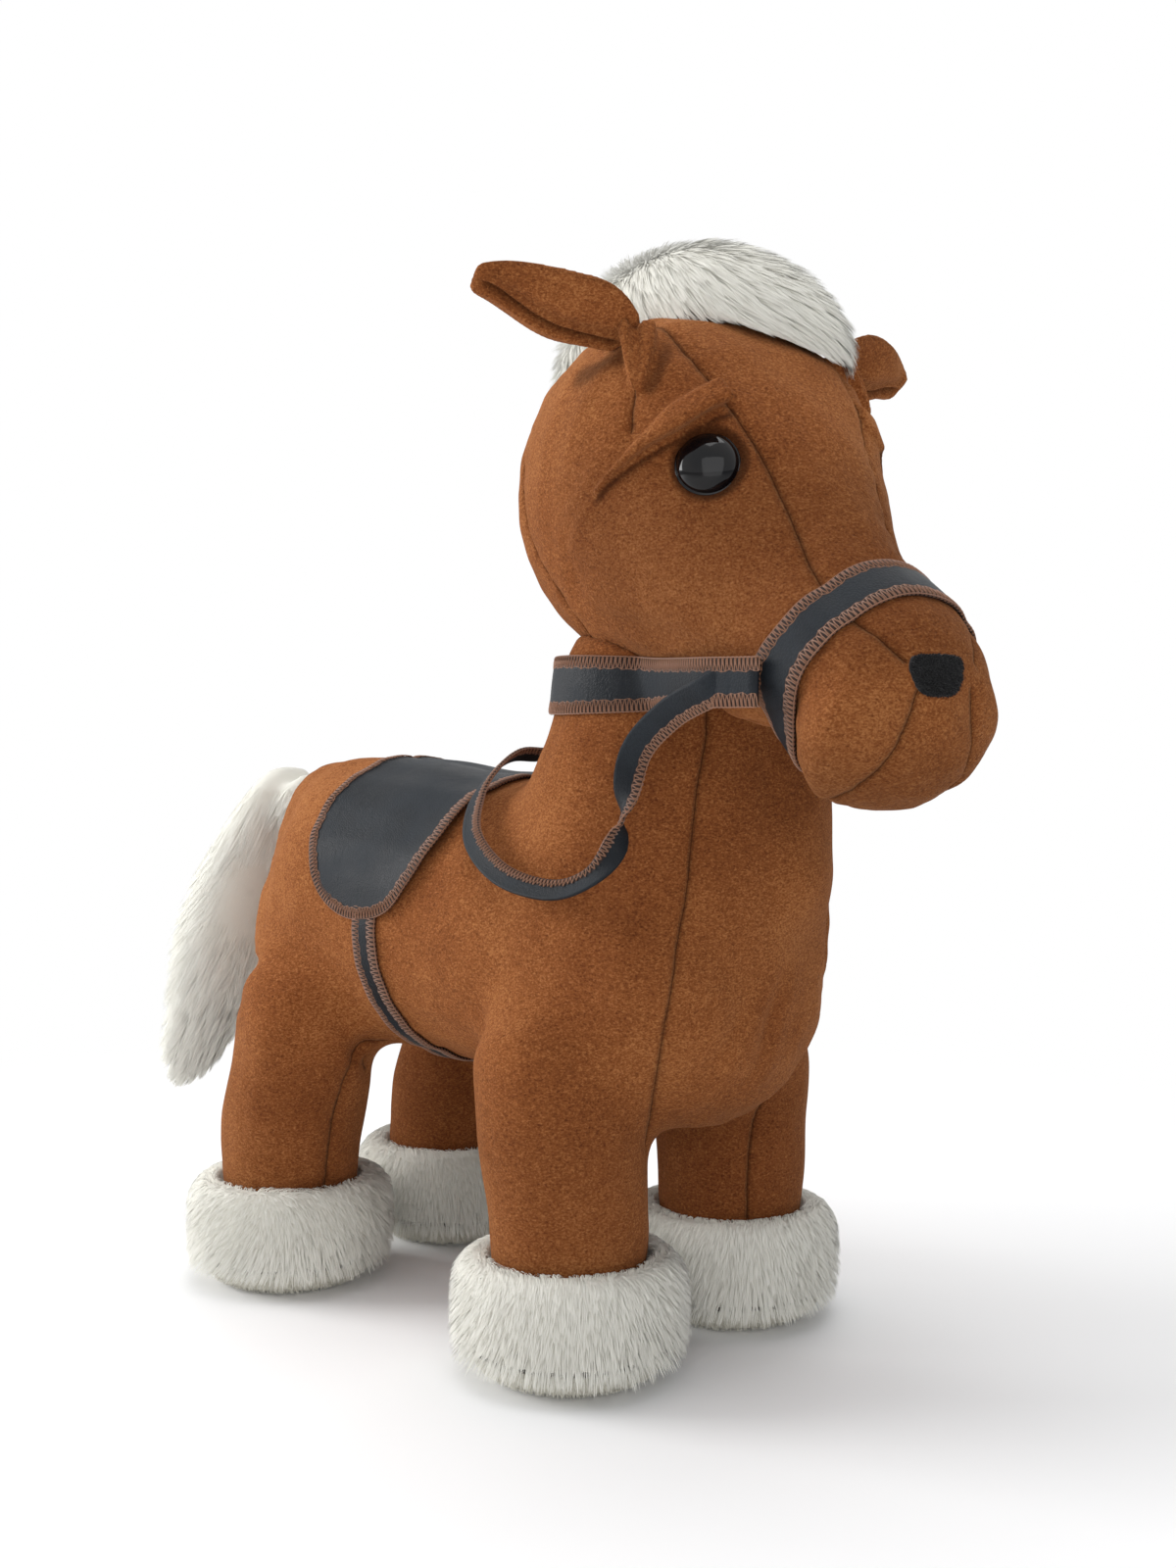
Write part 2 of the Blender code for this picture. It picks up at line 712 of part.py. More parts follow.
def make_body(shop):
    torso = shop.add("torso", torso_cage(), shop.velboa)
    neck = shop.add("neck", neck_cage(), shop.velboa)
    head = shop.add("head", head_cage(), shop.velboa, shop.turn)
    for item in (torso, neck, head):
        add_subdivision(item, SMOOTH_LEVELS)
    return torso, neck, head


def make_legs(shop, torso_room):
    for end, lengthwise in (("front", 1), ("rear", -1)):
        for side_name, side in (("right", -1), ("left", 1)):
            foot = "%s_%s" % (end, side_name)
            place = (lengthwise * LEG_SPACING / 2, side * LEG_TRACK / 2, 0)
            leg = shop.add("leg_" + foot, leg_cage(side, lengthwise), shop.velboa)
            leg.location = place
            add_subdivision(leg, SMOOTH_LEVELS)
            leg_room = grown_copy(leg, SEAM_GAP, shop.cutters)
            add_boolean(leg, torso_room)
            sole = solid_of_revolution("hoof_sole_" + foot, sole_profile(), CUFF_STEPS, shop.parts, shop.fur)
            cuff = solid_of_revolution("fur_cuff_" + foot, cuff_profile(), CUFF_STEPS, shop.parts, shop.fur)
            sole_room = solid_of_revolution("sole_room_" + foot, sole_profile(SEAM_GAP), CUFF_STEPS,
                                            shop.cutters)
            shop.add_cutter(sole_room)
            for item in (sole, cuff, sole_room):
                item.parent = shop.root
                item.location = place
            add_boolean(cuff, leg_room)
            add_boolean(cuff, sole_room)


def make_eyes(shop, head):
    core = head_core()
    frames = []
    for side_name, azimuth, depth in (("right", -EYE_AZIMUTH_RIGHT, EYE_SEAT_DEPTH_RIGHT),
                                      ("left", EYE_AZIMUTH_LEFT, EYE_SEAT_DEPTH_LEFT)):
        place, normal = surface_point(head, core, direction(azimuth, EYE_ELEVATION))
        level = Vector((0, 0, 1)).cross(normal).normalized()
        seat = place - normal * depth - Vector((HEAD_PIVOT_X, 0, 0))
        frame = axes_matrix(seat, level, normal.cross(level), normal)
        eye = solid_of_revolution("eye_" + side_name, eye_profile(), EYE_STEPS, shop.parts, shop.glass)
        washer = solid_of_revolution("eye_washer_" + side_name, washer_profile(), EYE_STEPS, shop.parts,
                                     shop.washer)
        socket = solid_of_revolution("socket_" + side_name, socket_profile(), EYE_STEPS, shop.cutters)
        hide_cutter(socket)
        for item in (eye, washer, socket):
            item.parent = shop.turn
            item.matrix_local = frame
        frames.append(socket)
    return frames


def make_lids(shop, head, head_room, sockets):
    for side_name, side, socket in (("right", -1, sockets[0]), ("left", 1, sockets[1])):
        lid = shop.add("eyelid_" + side_name, lid_mesh(head, side), shop.velboa, shop.turn)
        add_subdivision(lid, SMOOTH_LEVELS)
        add_boolean(lid, head_room)
        add_boolean(lid, socket)


def make_ears(shop, head):
    core = head_core()
    hinge_room = grown_copy(head, EAR_HINGE_GAP, shop.cutters)
    for side_name, side, lift in (("right", -1, EAR_LIFT_RIGHT), ("left", 1, EAR_LIFT_LEFT)):
        place, normal = surface_point(head, core, direction(side * EAR_AZIMUTH, EAR_ELEVATION))
        reach = direction(side * EAR_REACH_AZIMUTH, lift)
        base = Vector((0, 0, 1)).cross(reach).normalized() * side
        base = (base * math.cos(EAR_TWIST) - reach.cross(base) * side * math.sin(EAR_TWIST)).normalized()
        ear = add_object("ear_" + side_name, ear_mesh(side), shop.parts, shop.velboa)
        ear.parent = shop.turn
        seat = place + normal * EAR_THICKNESS / 2 - Vector((HEAD_PIVOT_X, 0, 0))
        ear.matrix_local = axes_matrix(seat, reach, base, reach.cross(base))
        add_thickness(ear, EAR_THICKNESS)
        add_subdivision(ear, SMOOTH_LEVELS)
        add_boolean(ear, hinge_room)


def make_fur(shop, head, head_room):
    mane = shop.add("mane", mane_mesh(head), shop.fur, shop.turn)
    add_subdivision(mane, SMOOTH_LEVELS)
    add_boolean(mane, head_room)


def make_tail(shop, torso):
    start = Vector((TORSO_REAR + TORSO_HEIGHT / 2, 0, TORSO_MIDDLE))
    place, normal = surface_point(torso, start, direction(0, TAIL_ROOT_ANGLE))
    tail = shop.add("tail", tail_mesh(), shop.fur)
    add_subdivision(tail, SMOOTH_LEVELS)
    tail.location = place + normal * (TAIL_ROOT_RADIUS + TAIL_HINGE_GAP)
    tail.rotation_euler = (TAIL_SWING, TAIL_LEAN, 0)


def make_saddlery(shop, torso, neck, head, torso_room, head_room):
    layer = STRAP_THICKNESS + SEAM_GAP
    saddle = prism("saddle", saddle_outline(), 2 * TORSO_WIDTH, shop.parts, shop.leather)
    saddle.parent = shop.root
    upright(saddle)
    add_boolean(saddle, grown_copy(torso, SEAM_GAP + SADDLE_THICKNESS, shop.cutters), "INTERSECT")
    add_boolean(saddle, torso_room)

    saddle_room = prism("saddle_room", saddle_outline(SEAM_GAP), 3 * TORSO_WIDTH, shop.cutters)
    shop.add_cutter(saddle_room)
    upright(saddle_room)
    girth_size = (GIRTH_WIDTH, 2 * TORSO_WIDTH, TORSO_HEIGHT)
    girth_place = (GIRTH_X, 0, TORSO_MIDDLE - TORSO_HEIGHT / 4)
    girth = slab("girth_strap", girth_size, girth_place, 0, shop.parts, shop.leather)
    girth.parent = shop.root
    add_boolean(girth, grown_copy(torso, layer, shop.cutters), "INTERSECT")
    add_boolean(girth, torso_room)
    add_boolean(girth, saddle_room)

    head_layer = grown_copy(head, layer, shop.cutters)
    band_size = (NOSEBAND_WIDTH, 2 * HEAD_WIDTH, HEAD_HEIGHT)
    band_place = Vector((NOSEBAND_X - HEAD_PIVOT_X, 0, NOSEBAND_Z))
    noseband = slab("noseband", band_size, band_place, NOSEBAND_PITCH, shop.parts, shop.leather)
    noseband.parent = shop.turn
    add_boolean(noseband, head_layer, "INTERSECT")
    add_boolean(noseband, head_room)

    room_size = (NOSEBAND_WIDTH + 2 * SEAM_GAP, 3 * HEAD_WIDTH, 2 * HEAD_HEIGHT)
    noseband_room = slab("noseband_room", room_size, band_place, NOSEBAND_PITCH, shop.cutters)
    shop.add_cutter(noseband_room, shop.turn)
    reach = NOSEBAND_X + (NECK_STRAP_Z - NOSEBAND_Z) * math.tan(NOSEBAND_PITCH) - HEAD_PIVOT_X
    strap_length = 2 * HEAD_LENGTH
    neck_strap = slab("neck_strap", (strap_length, 2 * HEAD_WIDTH, NECK_STRAP_WIDTH),
                      (reach - strap_length / 2, 0, NECK_STRAP_Z), 0, shop.parts, shop.leather)
    neck_strap.parent = shop.turn
    union = grown_copy(neck, layer, shop.cutters)
    add_boolean(union, head_layer, "UNION")
    add_boolean(neck_strap, union, "INTERSECT")
    add_boolean(neck_strap, head_room)
    add_boolean(neck_strap, grown_copy(neck, SEAM_GAP, shop.cutters))
    add_boolean(neck_strap, noseband_room)


def make_patch(shop, head, head_room):
    patch = prism("nose_patch", patch_outline(), HEAD_LENGTH / 2, shop.parts, shop.pile)
    patch.parent = shop.turn
    place = Vector((HEAD_BACK + HEAD_LENGTH - HEAD_PIVOT_X, PATCH_OFFSET, PATCH_Z))
    patch.matrix_local = axes_matrix(place, Vector((0, 1, 0)), Vector((0, 0, 1)), Vector((1, 0, 0)))
    add_boolean(patch, grown_copy(head, SEAM_GAP + PATCH_THICKNESS, shop.cutters), "INTERSECT")
    add_boolean(patch, head_room)


def make_reins(shop, head, neck):
    bpy.context.view_layer.update()
    ends = rein_ends(head, shop.turn.matrix_world.copy())
    axis = (ends[1] - ends[0]).normalized()
    forward = axis.cross(Vector((0, 0, 1))).normalized()
    hinge = axes_matrix((ends[0] + ends[1]) / 2, forward, axis, forward.cross(axis))
    reins = shop.add("reins", rein_mesh(ends, hinge), shop.leather)
    reins.matrix_local = hinge
    add_thickness(reins, REIN_THICKNESS)
    over_straps = STRAP_THICKNESS + REIN_CLEARANCE
    add_boolean(reins, grown_copy(head, over_straps, shop.cutters))
    add_boolean(reins, grown_copy(neck, over_straps, shop.cutters))


def centre_on_floor(root, parts):
    """Put the origin at the middle of the bounding box's bottom face."""
    bpy.context.view_layer.update()
    graph = bpy.context.evaluated_depsgraph_get()
    places = []
    for item in parts.objects:
        if item.type == "MESH":
            smooth = item.evaluated_get(graph)
            places.extend(smooth.matrix_world @ vertex.co for vertex in smooth.data.vertices)
    for axis in (0, 1):
        values = [place[axis] for place in places]
        root.location[axis] -= (min(values) + max(values)) / 2
    root.location[2] -= min(place[2] for place in places)


def main():
    remove_everything()
    shop = Workshop()
    torso, neck, head = make_body(shop)
    torso_room = grown_copy(torso, SEAM_GAP, shop.cutters)
    head_room = grown_copy(head, SEAM_GAP, shop.cutters)
    make_legs(shop, torso_room)
    sockets = make_eyes(shop, head)
    make_lids(shop, head, head_room, sockets)
    make_ears(shop, head)
    make_fur(shop, head, head_room)
    make_tail(shop, torso)
    make_patch(shop, head, head_room)
    make_saddlery(shop, torso, neck, head, torso_room, head_room)
    make_reins(shop, head, neck)
    add_boolean(neck, torso_room)
    add_boolean(neck, head_room)
    for socket in sockets:
        add_boolean(head, socket)
    centre_on_floor(shop.root, shop.parts)


main()
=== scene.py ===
"""Looks of the plush horse: skins, fur, faux leather, eyes, light and camera."""

import json
import math

import bmesh
import bpy
import numpy as np
from mathutils import Matrix, Vector
from mathutils.bvhtree import BVHTree
from mathutils.kdtree import KDTree


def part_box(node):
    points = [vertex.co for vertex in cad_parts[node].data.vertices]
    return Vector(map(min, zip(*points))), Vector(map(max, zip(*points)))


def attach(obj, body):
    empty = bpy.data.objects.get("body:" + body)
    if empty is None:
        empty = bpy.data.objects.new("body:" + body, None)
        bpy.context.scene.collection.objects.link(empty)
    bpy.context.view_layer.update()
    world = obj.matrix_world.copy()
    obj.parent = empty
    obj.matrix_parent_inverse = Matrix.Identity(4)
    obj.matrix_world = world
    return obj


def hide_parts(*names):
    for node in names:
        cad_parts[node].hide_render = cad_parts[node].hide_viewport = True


MM = 0.001
OFFSET = Vector((-0.021698, 0.007585, 0.0))
HEAD_TURN = math.radians(-14)
HEAD_PIVOT_X = 85.0
SIDES = (("right", 1.0), ("left", -1.0))
FEET = ("front_right", "front_left", "rear_right", "rear_left")
X, Y, Z = Vector((1, 0, 0)), Vector((0, 1, 0)), Vector((0, 0, 1))
DOWN = np.array([0, 0, -1.0])

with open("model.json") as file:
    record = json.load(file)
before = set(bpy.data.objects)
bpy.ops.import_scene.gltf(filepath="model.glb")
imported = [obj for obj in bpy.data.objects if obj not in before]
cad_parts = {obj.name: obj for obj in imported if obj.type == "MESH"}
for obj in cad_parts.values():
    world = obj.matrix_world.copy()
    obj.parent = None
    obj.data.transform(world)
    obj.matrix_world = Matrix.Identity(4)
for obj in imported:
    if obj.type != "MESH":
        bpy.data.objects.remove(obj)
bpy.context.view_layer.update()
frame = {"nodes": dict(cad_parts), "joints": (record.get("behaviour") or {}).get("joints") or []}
rng = np.random.default_rng(7)


def body_point(x, y, z):
    """Millimetres in the body's own frame to metres in the shared frame."""
    return Vector((x, y, z)) * MM + OFFSET


def head_point(x, y, z, turn=HEAD_TURN):
    """Millimetres in the head's own frame, before its turn, to metres in the shared frame."""
    ahead = x - HEAD_PIVOT_X
    cosine, sine = math.cos(turn), math.sin(turn)
    return body_point(HEAD_PIVOT_X + ahead * cosine - y * sine, ahead * sine + y * cosine, z)


# ---------------------------------------------------------------- materials

def rgba(colour):
    return colour if isinstance(colour, bpy.types.NodeSocket) else (*colour, 1.0)


class Nodes:
    """A node tree with short ways to add nodes and wire them."""

    def __init__(self, tree):
        self.tree = tree

    def plug(self, socket, value):
        """Link the value to the socket, or set it there; None leaves the socket alone."""
        if isinstance(value, bpy.types.NodeSocket):
            self.tree.links.new(value, socket)
        elif value is not None:
            socket.default_value = value

    def add(self, kind, inputs=None, **settings):
        node = self.tree.nodes.new(kind)
        for key, value in settings.items():
            setattr(node, key, value)
        for key, value in (inputs or {}).items():
            self.plug(node.inputs[key], value)
        return node

    def math(self, operation, first, second=None, third=None):
        return self.add("ShaderNodeMath", {0: first, 1: second, 2: third}, operation=operation).outputs[0]

    def vector(self, operation, inputs, output="Vector"):
        return self.add("ShaderNodeVectorMath", inputs, operation=operation).outputs[output]

    def mix_shaders(self, factor, first, second):
        return self.add("ShaderNodeMixShader", {0: factor, 1: first, 2: second}).outputs[0]


class Shader(Nodes):
    """A material built around one Principled BSDF."""

    def __init__(self, name, colour, roughness, **sockets):
        self.material = bpy.data.materials.new(name)
        self.material.use_nodes = True
        super().__init__(self.material.node_tree)
        self.bsdf = self.tree.nodes["Principled BSDF"]
        self.bsdf.inputs["Base Color"].default_value = (*colour, 1.0)
        self.bsdf.inputs["Roughness"].default_value = roughness
        for key, value in sockets.items():
            self.bsdf.inputs[key.replace("_", " ")].default_value = value
        self.place = self.add("ShaderNodeTexCoord").outputs["Object"]

    def stretched(self, scale):
        return self.add("ShaderNodeMapping", {"Vector": self.place, "Scale": scale}).outputs["Vector"]

    def noise(self, scale, detail=2.0, place=None, roughness=0.5, distortion=0.0):
        return self.add("ShaderNodeTexNoise", {"Vector": place or self.place, "Scale": scale, "Detail": detail,
                                               "Roughness": roughness, "Distortion": distortion}).outputs["Fac"]

    def remap(self, value, low, high, out_low=0.0, out_high=1.0):
        return self.add("ShaderNodeMapRange", {"Value": value, "From Min": low, "From Max": high,
                                               "To Min": out_low, "To Max": out_high},
                        interpolation_type="SMOOTHSTEP").outputs["Result"]

    def ramp(self, value, stops):
        node = self.add("ShaderNodeValToRGB", {"Fac": value})
        ramp = node.color_ramp
        while len(ramp.elements) < len(stops):
            ramp.elements.new(0.5)
        for element, (position, colour) in zip(ramp.elements, stops):
            element.position = position
            element.color = (*colour, 1.0)
        return node.outputs["Color"]

    def mix(self, factor, first, second):
        return self.add("ShaderNodeMix", {0: factor, 6: rgba(first), 7: rgba(second)}, data_type="RGBA").outputs[2]

    def bump(self, height, distance, strength=1.0, below=None):
        return self.add("ShaderNodeBump", {"Height": height, "Distance": distance, "Strength": strength,
                                           "Normal": below}).outputs["Normal"]

    def attribute(self, name):
        return self.add("ShaderNodeAttribute", attribute_name=name).outputs["Fac"]

    def finish(self, colour=None, normal=None, roughness=None):
        for key, value in (("Base Color", colour), ("Normal", normal), ("Roughness", roughness)):
            self.plug(self.bsdf.inputs[key], value)
        return self.material

    def surface(self, socket):
        self.plug(self.tree.nodes["Material Output"].inputs["Surface"], socket)


def velboa(name, dark, middle, light):
    """Short brown pile: a fine directional nap, brushed patches and sewn seams, with painted shade beside the seams and
    wherever a skin's shade attribute asks for it.
    """
    shader = Shader(name, middle, 0.95, Specular_IOR_Level=0.06, Sheen_Weight=0.16, Sheen_Roughness=0.45)
    shader.bsdf.inputs["Sheen Tint"].default_value = (0.95, 0.50, 0.24, 1.0)
    nap = shader.noise(1300.0, 3.0, shader.stretched((0.7, 0.7, 1.0)), 0.62, 0.5)
    clumps = shader.noise(620.0, 2.0, shader.stretched((0.6, 0.6, 1.0)), 0.5, 0.7)
    patches = shader.noise(52.0, 3.0, None, 0.55)
    broad = shader.noise(13.0, 1.0)
    tone = shader.math("MULTIPLY_ADD", nap, 0.56, shader.math("MULTIPLY", clumps, 0.16))
    tone = shader.math("MULTIPLY_ADD", patches, 0.10, tone)
    tone = shader.math("MULTIPLY_ADD", broad, 0.18, tone)
    colour = shader.ramp(tone, ((0.36, dark), (0.50, middle), (0.64, light)))
    side = shader.math("ABSOLUTE", shader.attribute("seam_side"))
    close = shader.remap(shader.attribute("seam_near"), 1.6, 2.6, 1.0, 0.0)
    line = shader.math("MULTIPLY", shader.remap(side, 0.10, 0.55, 1.0, 0.0), close)
    # A thin dark line marks each seam, and a wider darkening beside it is painted shade in the seam's groove
    seam_shade = shader.remap(shader.attribute("seam_near"), 0.0, 4.0, 0.20, 0.0)
    colour = shader.mix(shader.math("MAXIMUM", shader.math("MULTIPLY", line, 0.78), seam_shade), colour,
                        tuple(0.25 * channel for channel in dark))
    # Painted shade from the skin's shade attribute: round the eyes, under the lid and pleat, in the ear creases, on the
    # face and down the legs
    shade = shader.attribute("shade")
    colour = shader.mix(shade, colour, tuple(0.30 * channel for channel in dark))
    fine = shader.bump(nap, 0.0011, 0.55)
    soft = shader.bump(clumps, 0.0016, 0.45, fine)
    groove = shader.bump(shader.remap(side, 0.0, 1.3), 0.0011, shader.math("MULTIPLY", close, 0.9), soft)
    return shader.finish(colour, groove)


def fur(name, root, tip):
    """White pile strands, a little warmer at their roots, and darker there as painted shade deep in the pile."""
    shader = Shader(name, tip, 0.75, Specular_IOR_Level=0.25, Sheen_Weight=0.3, Sheen_Roughness=0.5)
    along = shader.attribute("along")
    tint = shader.attribute("tint")
    colour = shader.ramp(along, ((0.0, root), (0.75, tip)))
    shaded = tuple(channel * 0.90 for channel in tip)
    colour = shader.mix(shader.math("MULTIPLY", tint, 0.5), colour, shaded)
    waves = shader.noise(60.0, 2.0)
    colour = shader.mix(shader.remap(waves, 0.52, 0.75, 0.0, 0.16), colour, (0.50, 0.47, 0.40))
    soft = shader.add("ShaderNodeAttribute", attribute_name="soft").outputs["Vector"]
    soft = shader.add("ShaderNodeVectorTransform", {"Vector": soft}, vector_type="NORMAL", convert_from="OBJECT",
                      convert_to="WORLD").outputs["Vector"]
    facing = shader.add("ShaderNodeNewGeometry").outputs["Normal"]
    lean = shader.vector("SCALE", {0: facing, "Scale": 0.55})
    normal = shader.vector("NORMALIZE", {0: shader.vector("ADD", {0: soft, 1: lean})})
    shader.finish(colour, normal)
    through = shader.add("ShaderNodeBsdfTranslucent", {"Color": colour, "Normal": normal}).outputs[0]
    sheer = shader.mix_shaders(0.25, shader.bsdf.outputs[0], through)
    # Fine hairs hold back only a part of the light that falls on the hairs behind them
    shadow = shader.add("ShaderNodeLightPath").outputs["Is Shadow Ray"]
    thin = shader.math("MULTIPLY", shadow, shader.remap(along, 0.05, 0.20, 0.0, 0.85))
    gap = shader.add("ShaderNodeBsdfTransparent").outputs[0]
    shader.surface(shader.mix_shaders(thin, sheer, gap))
    return shader.material


def pile(name, low, high):
    """A dense short pile, seen from its tips."""
    shader = Shader(name, high, 0.95, Specular_IOR_Level=0.1, Sheen_Weight=0.15, Sheen_Roughness=0.6)
    grain = shader.noise(650.0, 3.0, shader.stretched((1.0, 1.0, 0.6)), 0.6)
    patches = shader.noise(70.0, 2.0)
    colour = shader.ramp(shader.math("MULTIPLY_ADD", grain, 0.6, shader.math("MULTIPLY", patches, 0.4)),
                         ((0.32, low), (0.62, high)))
    return shader.finish(colour, shader.bump(grain, 0.0010, 0.5))


def faux_leather(name, low, high):
    """Coated cloth: a pebbled grain, faint creases and worn high spots."""
    shader = Shader(name, high, 0.5, Specular_IOR_Level=0.15)
    cells = shader.add("ShaderNodeTexVoronoi", {"Vector": shader.place, "Scale": 760.0},
                       feature="DISTANCE_TO_EDGE").outputs["Distance"]
    grain = shader.remap(cells, 0.0, 0.22)
    creases = shader.noise(120.0, 4.0, shader.stretched((1.0, 1.0, 0.35)), 0.6, 1.2)
    patches = shader.noise(38.0, 2.0)
    colour = shader.mix(shader.remap(patches, 0.35, 0.7), low, high)
    # Painted shade: darker in the furrows between the pebbles of the grain
    colour = shader.mix(shader.remap(grain, 0.0, 0.6, 0.30, 0.0), colour, tuple(0.4 * c for c in low))
    sewn_edge = shader.remap(shader.attribute("edge"), 4.6, 5.4, 0.88, 0.0)
    colour = shader.mix(sewn_edge, colour, (0.030, 0.017, 0.013))
    below = shader.bump(creases, 0.0009, 0.35)
    normal = shader.bump(grain, 0.00016, 0.6, below)
    return shader.finish(colour, normal, shader.remap(patches, 0.3, 0.75, 0.48, 0.66))


def thread(name, colour):
    shader = Shader(name, colour, 0.7, Specular_IOR_Level=0.3, Sheen_Weight=0.2)
    twist = shader.add("ShaderNodeTexWave", {"Vector": shader.stretched((1.0, 0.9, 1.3)), "Scale": 700.0,
                                             "Distortion": 1.5}, bands_direction="DIAGONAL").outputs["Fac"]
    tone = shader.mix(twist, tuple(0.45 * channel for channel in colour), colour)
    return shader.finish(tone, shader.bump(twist, 0.00012, 0.5))


def eye_plastic(name):
    """Smoky moulded plastic: near black, with a faint brown depth and fine rub marks."""
    shader = Shader(name, (0.008, 0.008, 0.010), 0.05, Specular_IOR_Level=0.27)
    marks = shader.noise(420.0, 4.0, shader.stretched((1.0, 1.0, 0.15)), 0.7)
    depth = shader.noise(70.0, 1.0)
    colour = shader.mix(shader.remap(depth, 0.4, 0.7), (0.002, 0.002, 0.003), (0.007, 0.006, 0.006))
    return shader.finish(colour, shader.bump(depth, 0.00010, 0.15), shader.remap(marks, 0.45, 0.8, 0.06, 0.16))


def nylon(name):
    shader = Shader(name, (0.75, 0.75, 0.72), 0.45)
    speck = shader.noise(900.0, 2.0)
    return shader.finish(shader.mix(speck, (0.68, 0.68, 0.65), (0.80, 0.80, 0.77)),
                         shader.bump(speck, 0.00005, 0.3))


BROWN = velboa("velboa_brown", (0.105, 0.029, 0.009), (0.235, 0.075, 0.022), (0.41, 0.168, 0.058))
WHITE = fur("fur_white", (0.89, 0.87, 0.78), (0.97, 0.96, 0.89))
SOLE = fur("pile_white", (0.66, 0.63, 0.53), (0.82, 0.80, 0.71))
BLACK = pile("pile_black", (0.003, 0.003, 0.003), (0.018, 0.018, 0.020))
LEATHER = faux_leather("leather_slate", (0.007, 0.009, 0.012), (0.018, 0.022, 0.027))
THREAD = thread("thread_brown", (0.33, 0.150, 0.080))
EYE = eye_plastic("eye_smoke")
NYLON = nylon("nylon_white")


# ---------------------------------------------------------------- meshes

def new_object(name, mesh, material, smooth=True):
    item = bpy.data.objects.new(name, mesh)
    bpy.context.scene.collection.objects.link(item)
    mesh.materials.clear()
    mesh.materials.append(material)
    if smooth:
        mesh.shade_smooth()
    return item


def mesh_from(name, points, faces):
    mesh = bpy.data.meshes.new(name)
    mesh.from_pydata([tuple(point) for point in points], [], [tuple(face) for face in faces])
    mesh.update()
    return mesh


def cad_copy(nodes, grow=0.0):
    """The welded solids of some nodes in one mesh, swollen a little so that neighbours meet."""
    shape = bmesh.new()
    for node in nodes:
        shape.from_mesh(frame["nodes"][node].data)
    bmesh.ops.remove_doubles(shape, verts=shape.verts, dist=0.02 * MM)
    shape.normal_update()
    for vertex in shape.verts:
        vertex.co += vertex.normal * grow
    mesh = bpy.data.meshes.new("copy")
    shape.to_mesh(mesh)
    shape.free()
    return mesh


def merged(meshes, target=None):
    """The meshes in one, with all faces turned outwards."""
    shape = bmesh.new()
    for mesh in meshes:
        shape.from_mesh(mesh)
    bmesh.ops.recalc_face_normals(shape, faces=shape.faces)
    if target is None:
        target = bpy.data.meshes.new("merged")
    shape.to_mesh(target)
    shape.free()
    return target


def remeshed(mesh, voxel):
    """The mesh's outer skin, rebuilt from even voxels."""
    item = new_object("remesh", mesh, BROWN)
    modifier = item.modifiers.new("Remesh", "REMESH")
    modifier.mode = "VOXEL"
    modifier.voxel_size = voxel
    skin = bpy.data.meshes.new_from_object(item.evaluated_get(bpy.context.evaluated_depsgraph_get()))
    bpy.data.objects.remove(item, do_unlink=True)
    return skin


def gathered(items, name, width=3, kind=float):
    """One attribute of many mesh elements, as rows of an array."""
    flat = np.empty(len(items) * width, kind)
    items.foreach_get(name, flat)
    return flat.reshape(-1, width)


def points_of(mesh):
    return gathered(mesh.vertices, "co")


def normals_of(mesh):
    return gathered(mesh.vertices, "normal")


def edges_of(mesh):
    return gathered(mesh.edges, "vertices", 2, int)


def set_points(mesh, points):
    mesh.vertices.foreach_set("co", points.ravel())
    mesh.update()


def relax(points, edges, rounds, weight=None, backward=-0.53):
    """Taubin smoothing, or plain smoothing where backward is 0."""
    count = len(points)
    degree = np.bincount(edges.ravel(), minlength=count).astype(float)
    degree[degree == 0] = 1.0
    for _ in range(rounds):
        for step in (0.5, backward) if backward else (0.5,):
            mean = np.empty_like(points)
            for axis in range(3):
                total = np.bincount(edges[:, 0], points[edges[:, 1], axis], count)
                total += np.bincount(edges[:, 1], points[edges[:, 0], axis], count)
                mean[:, axis] = total / degree
            move = (mean - points) * step
            points = points + (move if weight is None else move * weight[:, None])
    return points


def relaxed(mesh, rounds, backward=-0.53):
    return relax(points_of(mesh), edges_of(mesh), rounds, None, backward)


def tree_of(mesh):
    return BVHTree.FromPolygons([vertex.co for vertex in mesh.vertices],
                                [tuple(face.vertices) for face in mesh.polygons])


def distances(tree, points, reach):
    """Distance from each point to a surface, no more than reach."""
    result = np.full(len(points), reach)
    for index, point in enumerate(points):
        found = tree.find_nearest(Vector(point), reach)
        if found[0] is not None:
            result[index] = found[3]
    return result


def put_attribute(mesh, name, values):
    """A number or a vector for each vertex."""
    values = np.asarray(values, np.float32)
    kind, field = ("FLOAT", "value") if values.ndim == 1 else ("FLOAT_VECTOR", "vector")
    mesh.attributes.new(name, kind, "POINT").data.foreach_set(field, values.ravel())


def around(items, index, closed=False):
    """The items before and after an index; an open end stands for its own missing neighbour."""
    if closed:
        return items[index - 1], items[(index + 1) % len(items)]
    return items[max(index - 1, 0)], items[min(index + 1, len(items) - 1)]


def tree_of_points(points):
    kd = KDTree(len(points))
    for number, point in enumerate(points):
        kd.insert(point, number)
    kd.balance()
    return kd


def smooth_route(points, step):
    """Catmull-Rom through the points, sampled about evenly."""
    points = [Vector(point) for point in points]
    route = []
    for index in range(len(points) - 1):
        before = points[max(index - 1, 0)]
        start, end = points[index], points[index + 1]
        after = points[min(index + 2, len(points) - 1)]
        count = max(2, int((end - start).length / step))
        for number in range(count):
            share = number / count
            route.append(0.5 * (2 * start + (end - before) * share
                                + (2 * before - 5 * start + 4 * end - after) * share ** 2
                                + (3 * start - before - 3 * end + after) * share ** 3))
    route.append(points[-1])
    return route


def unit(vectors):
    return vectors / np.maximum(np.linalg.norm(vectors, axis=-1, keepdims=True), 1e-9)


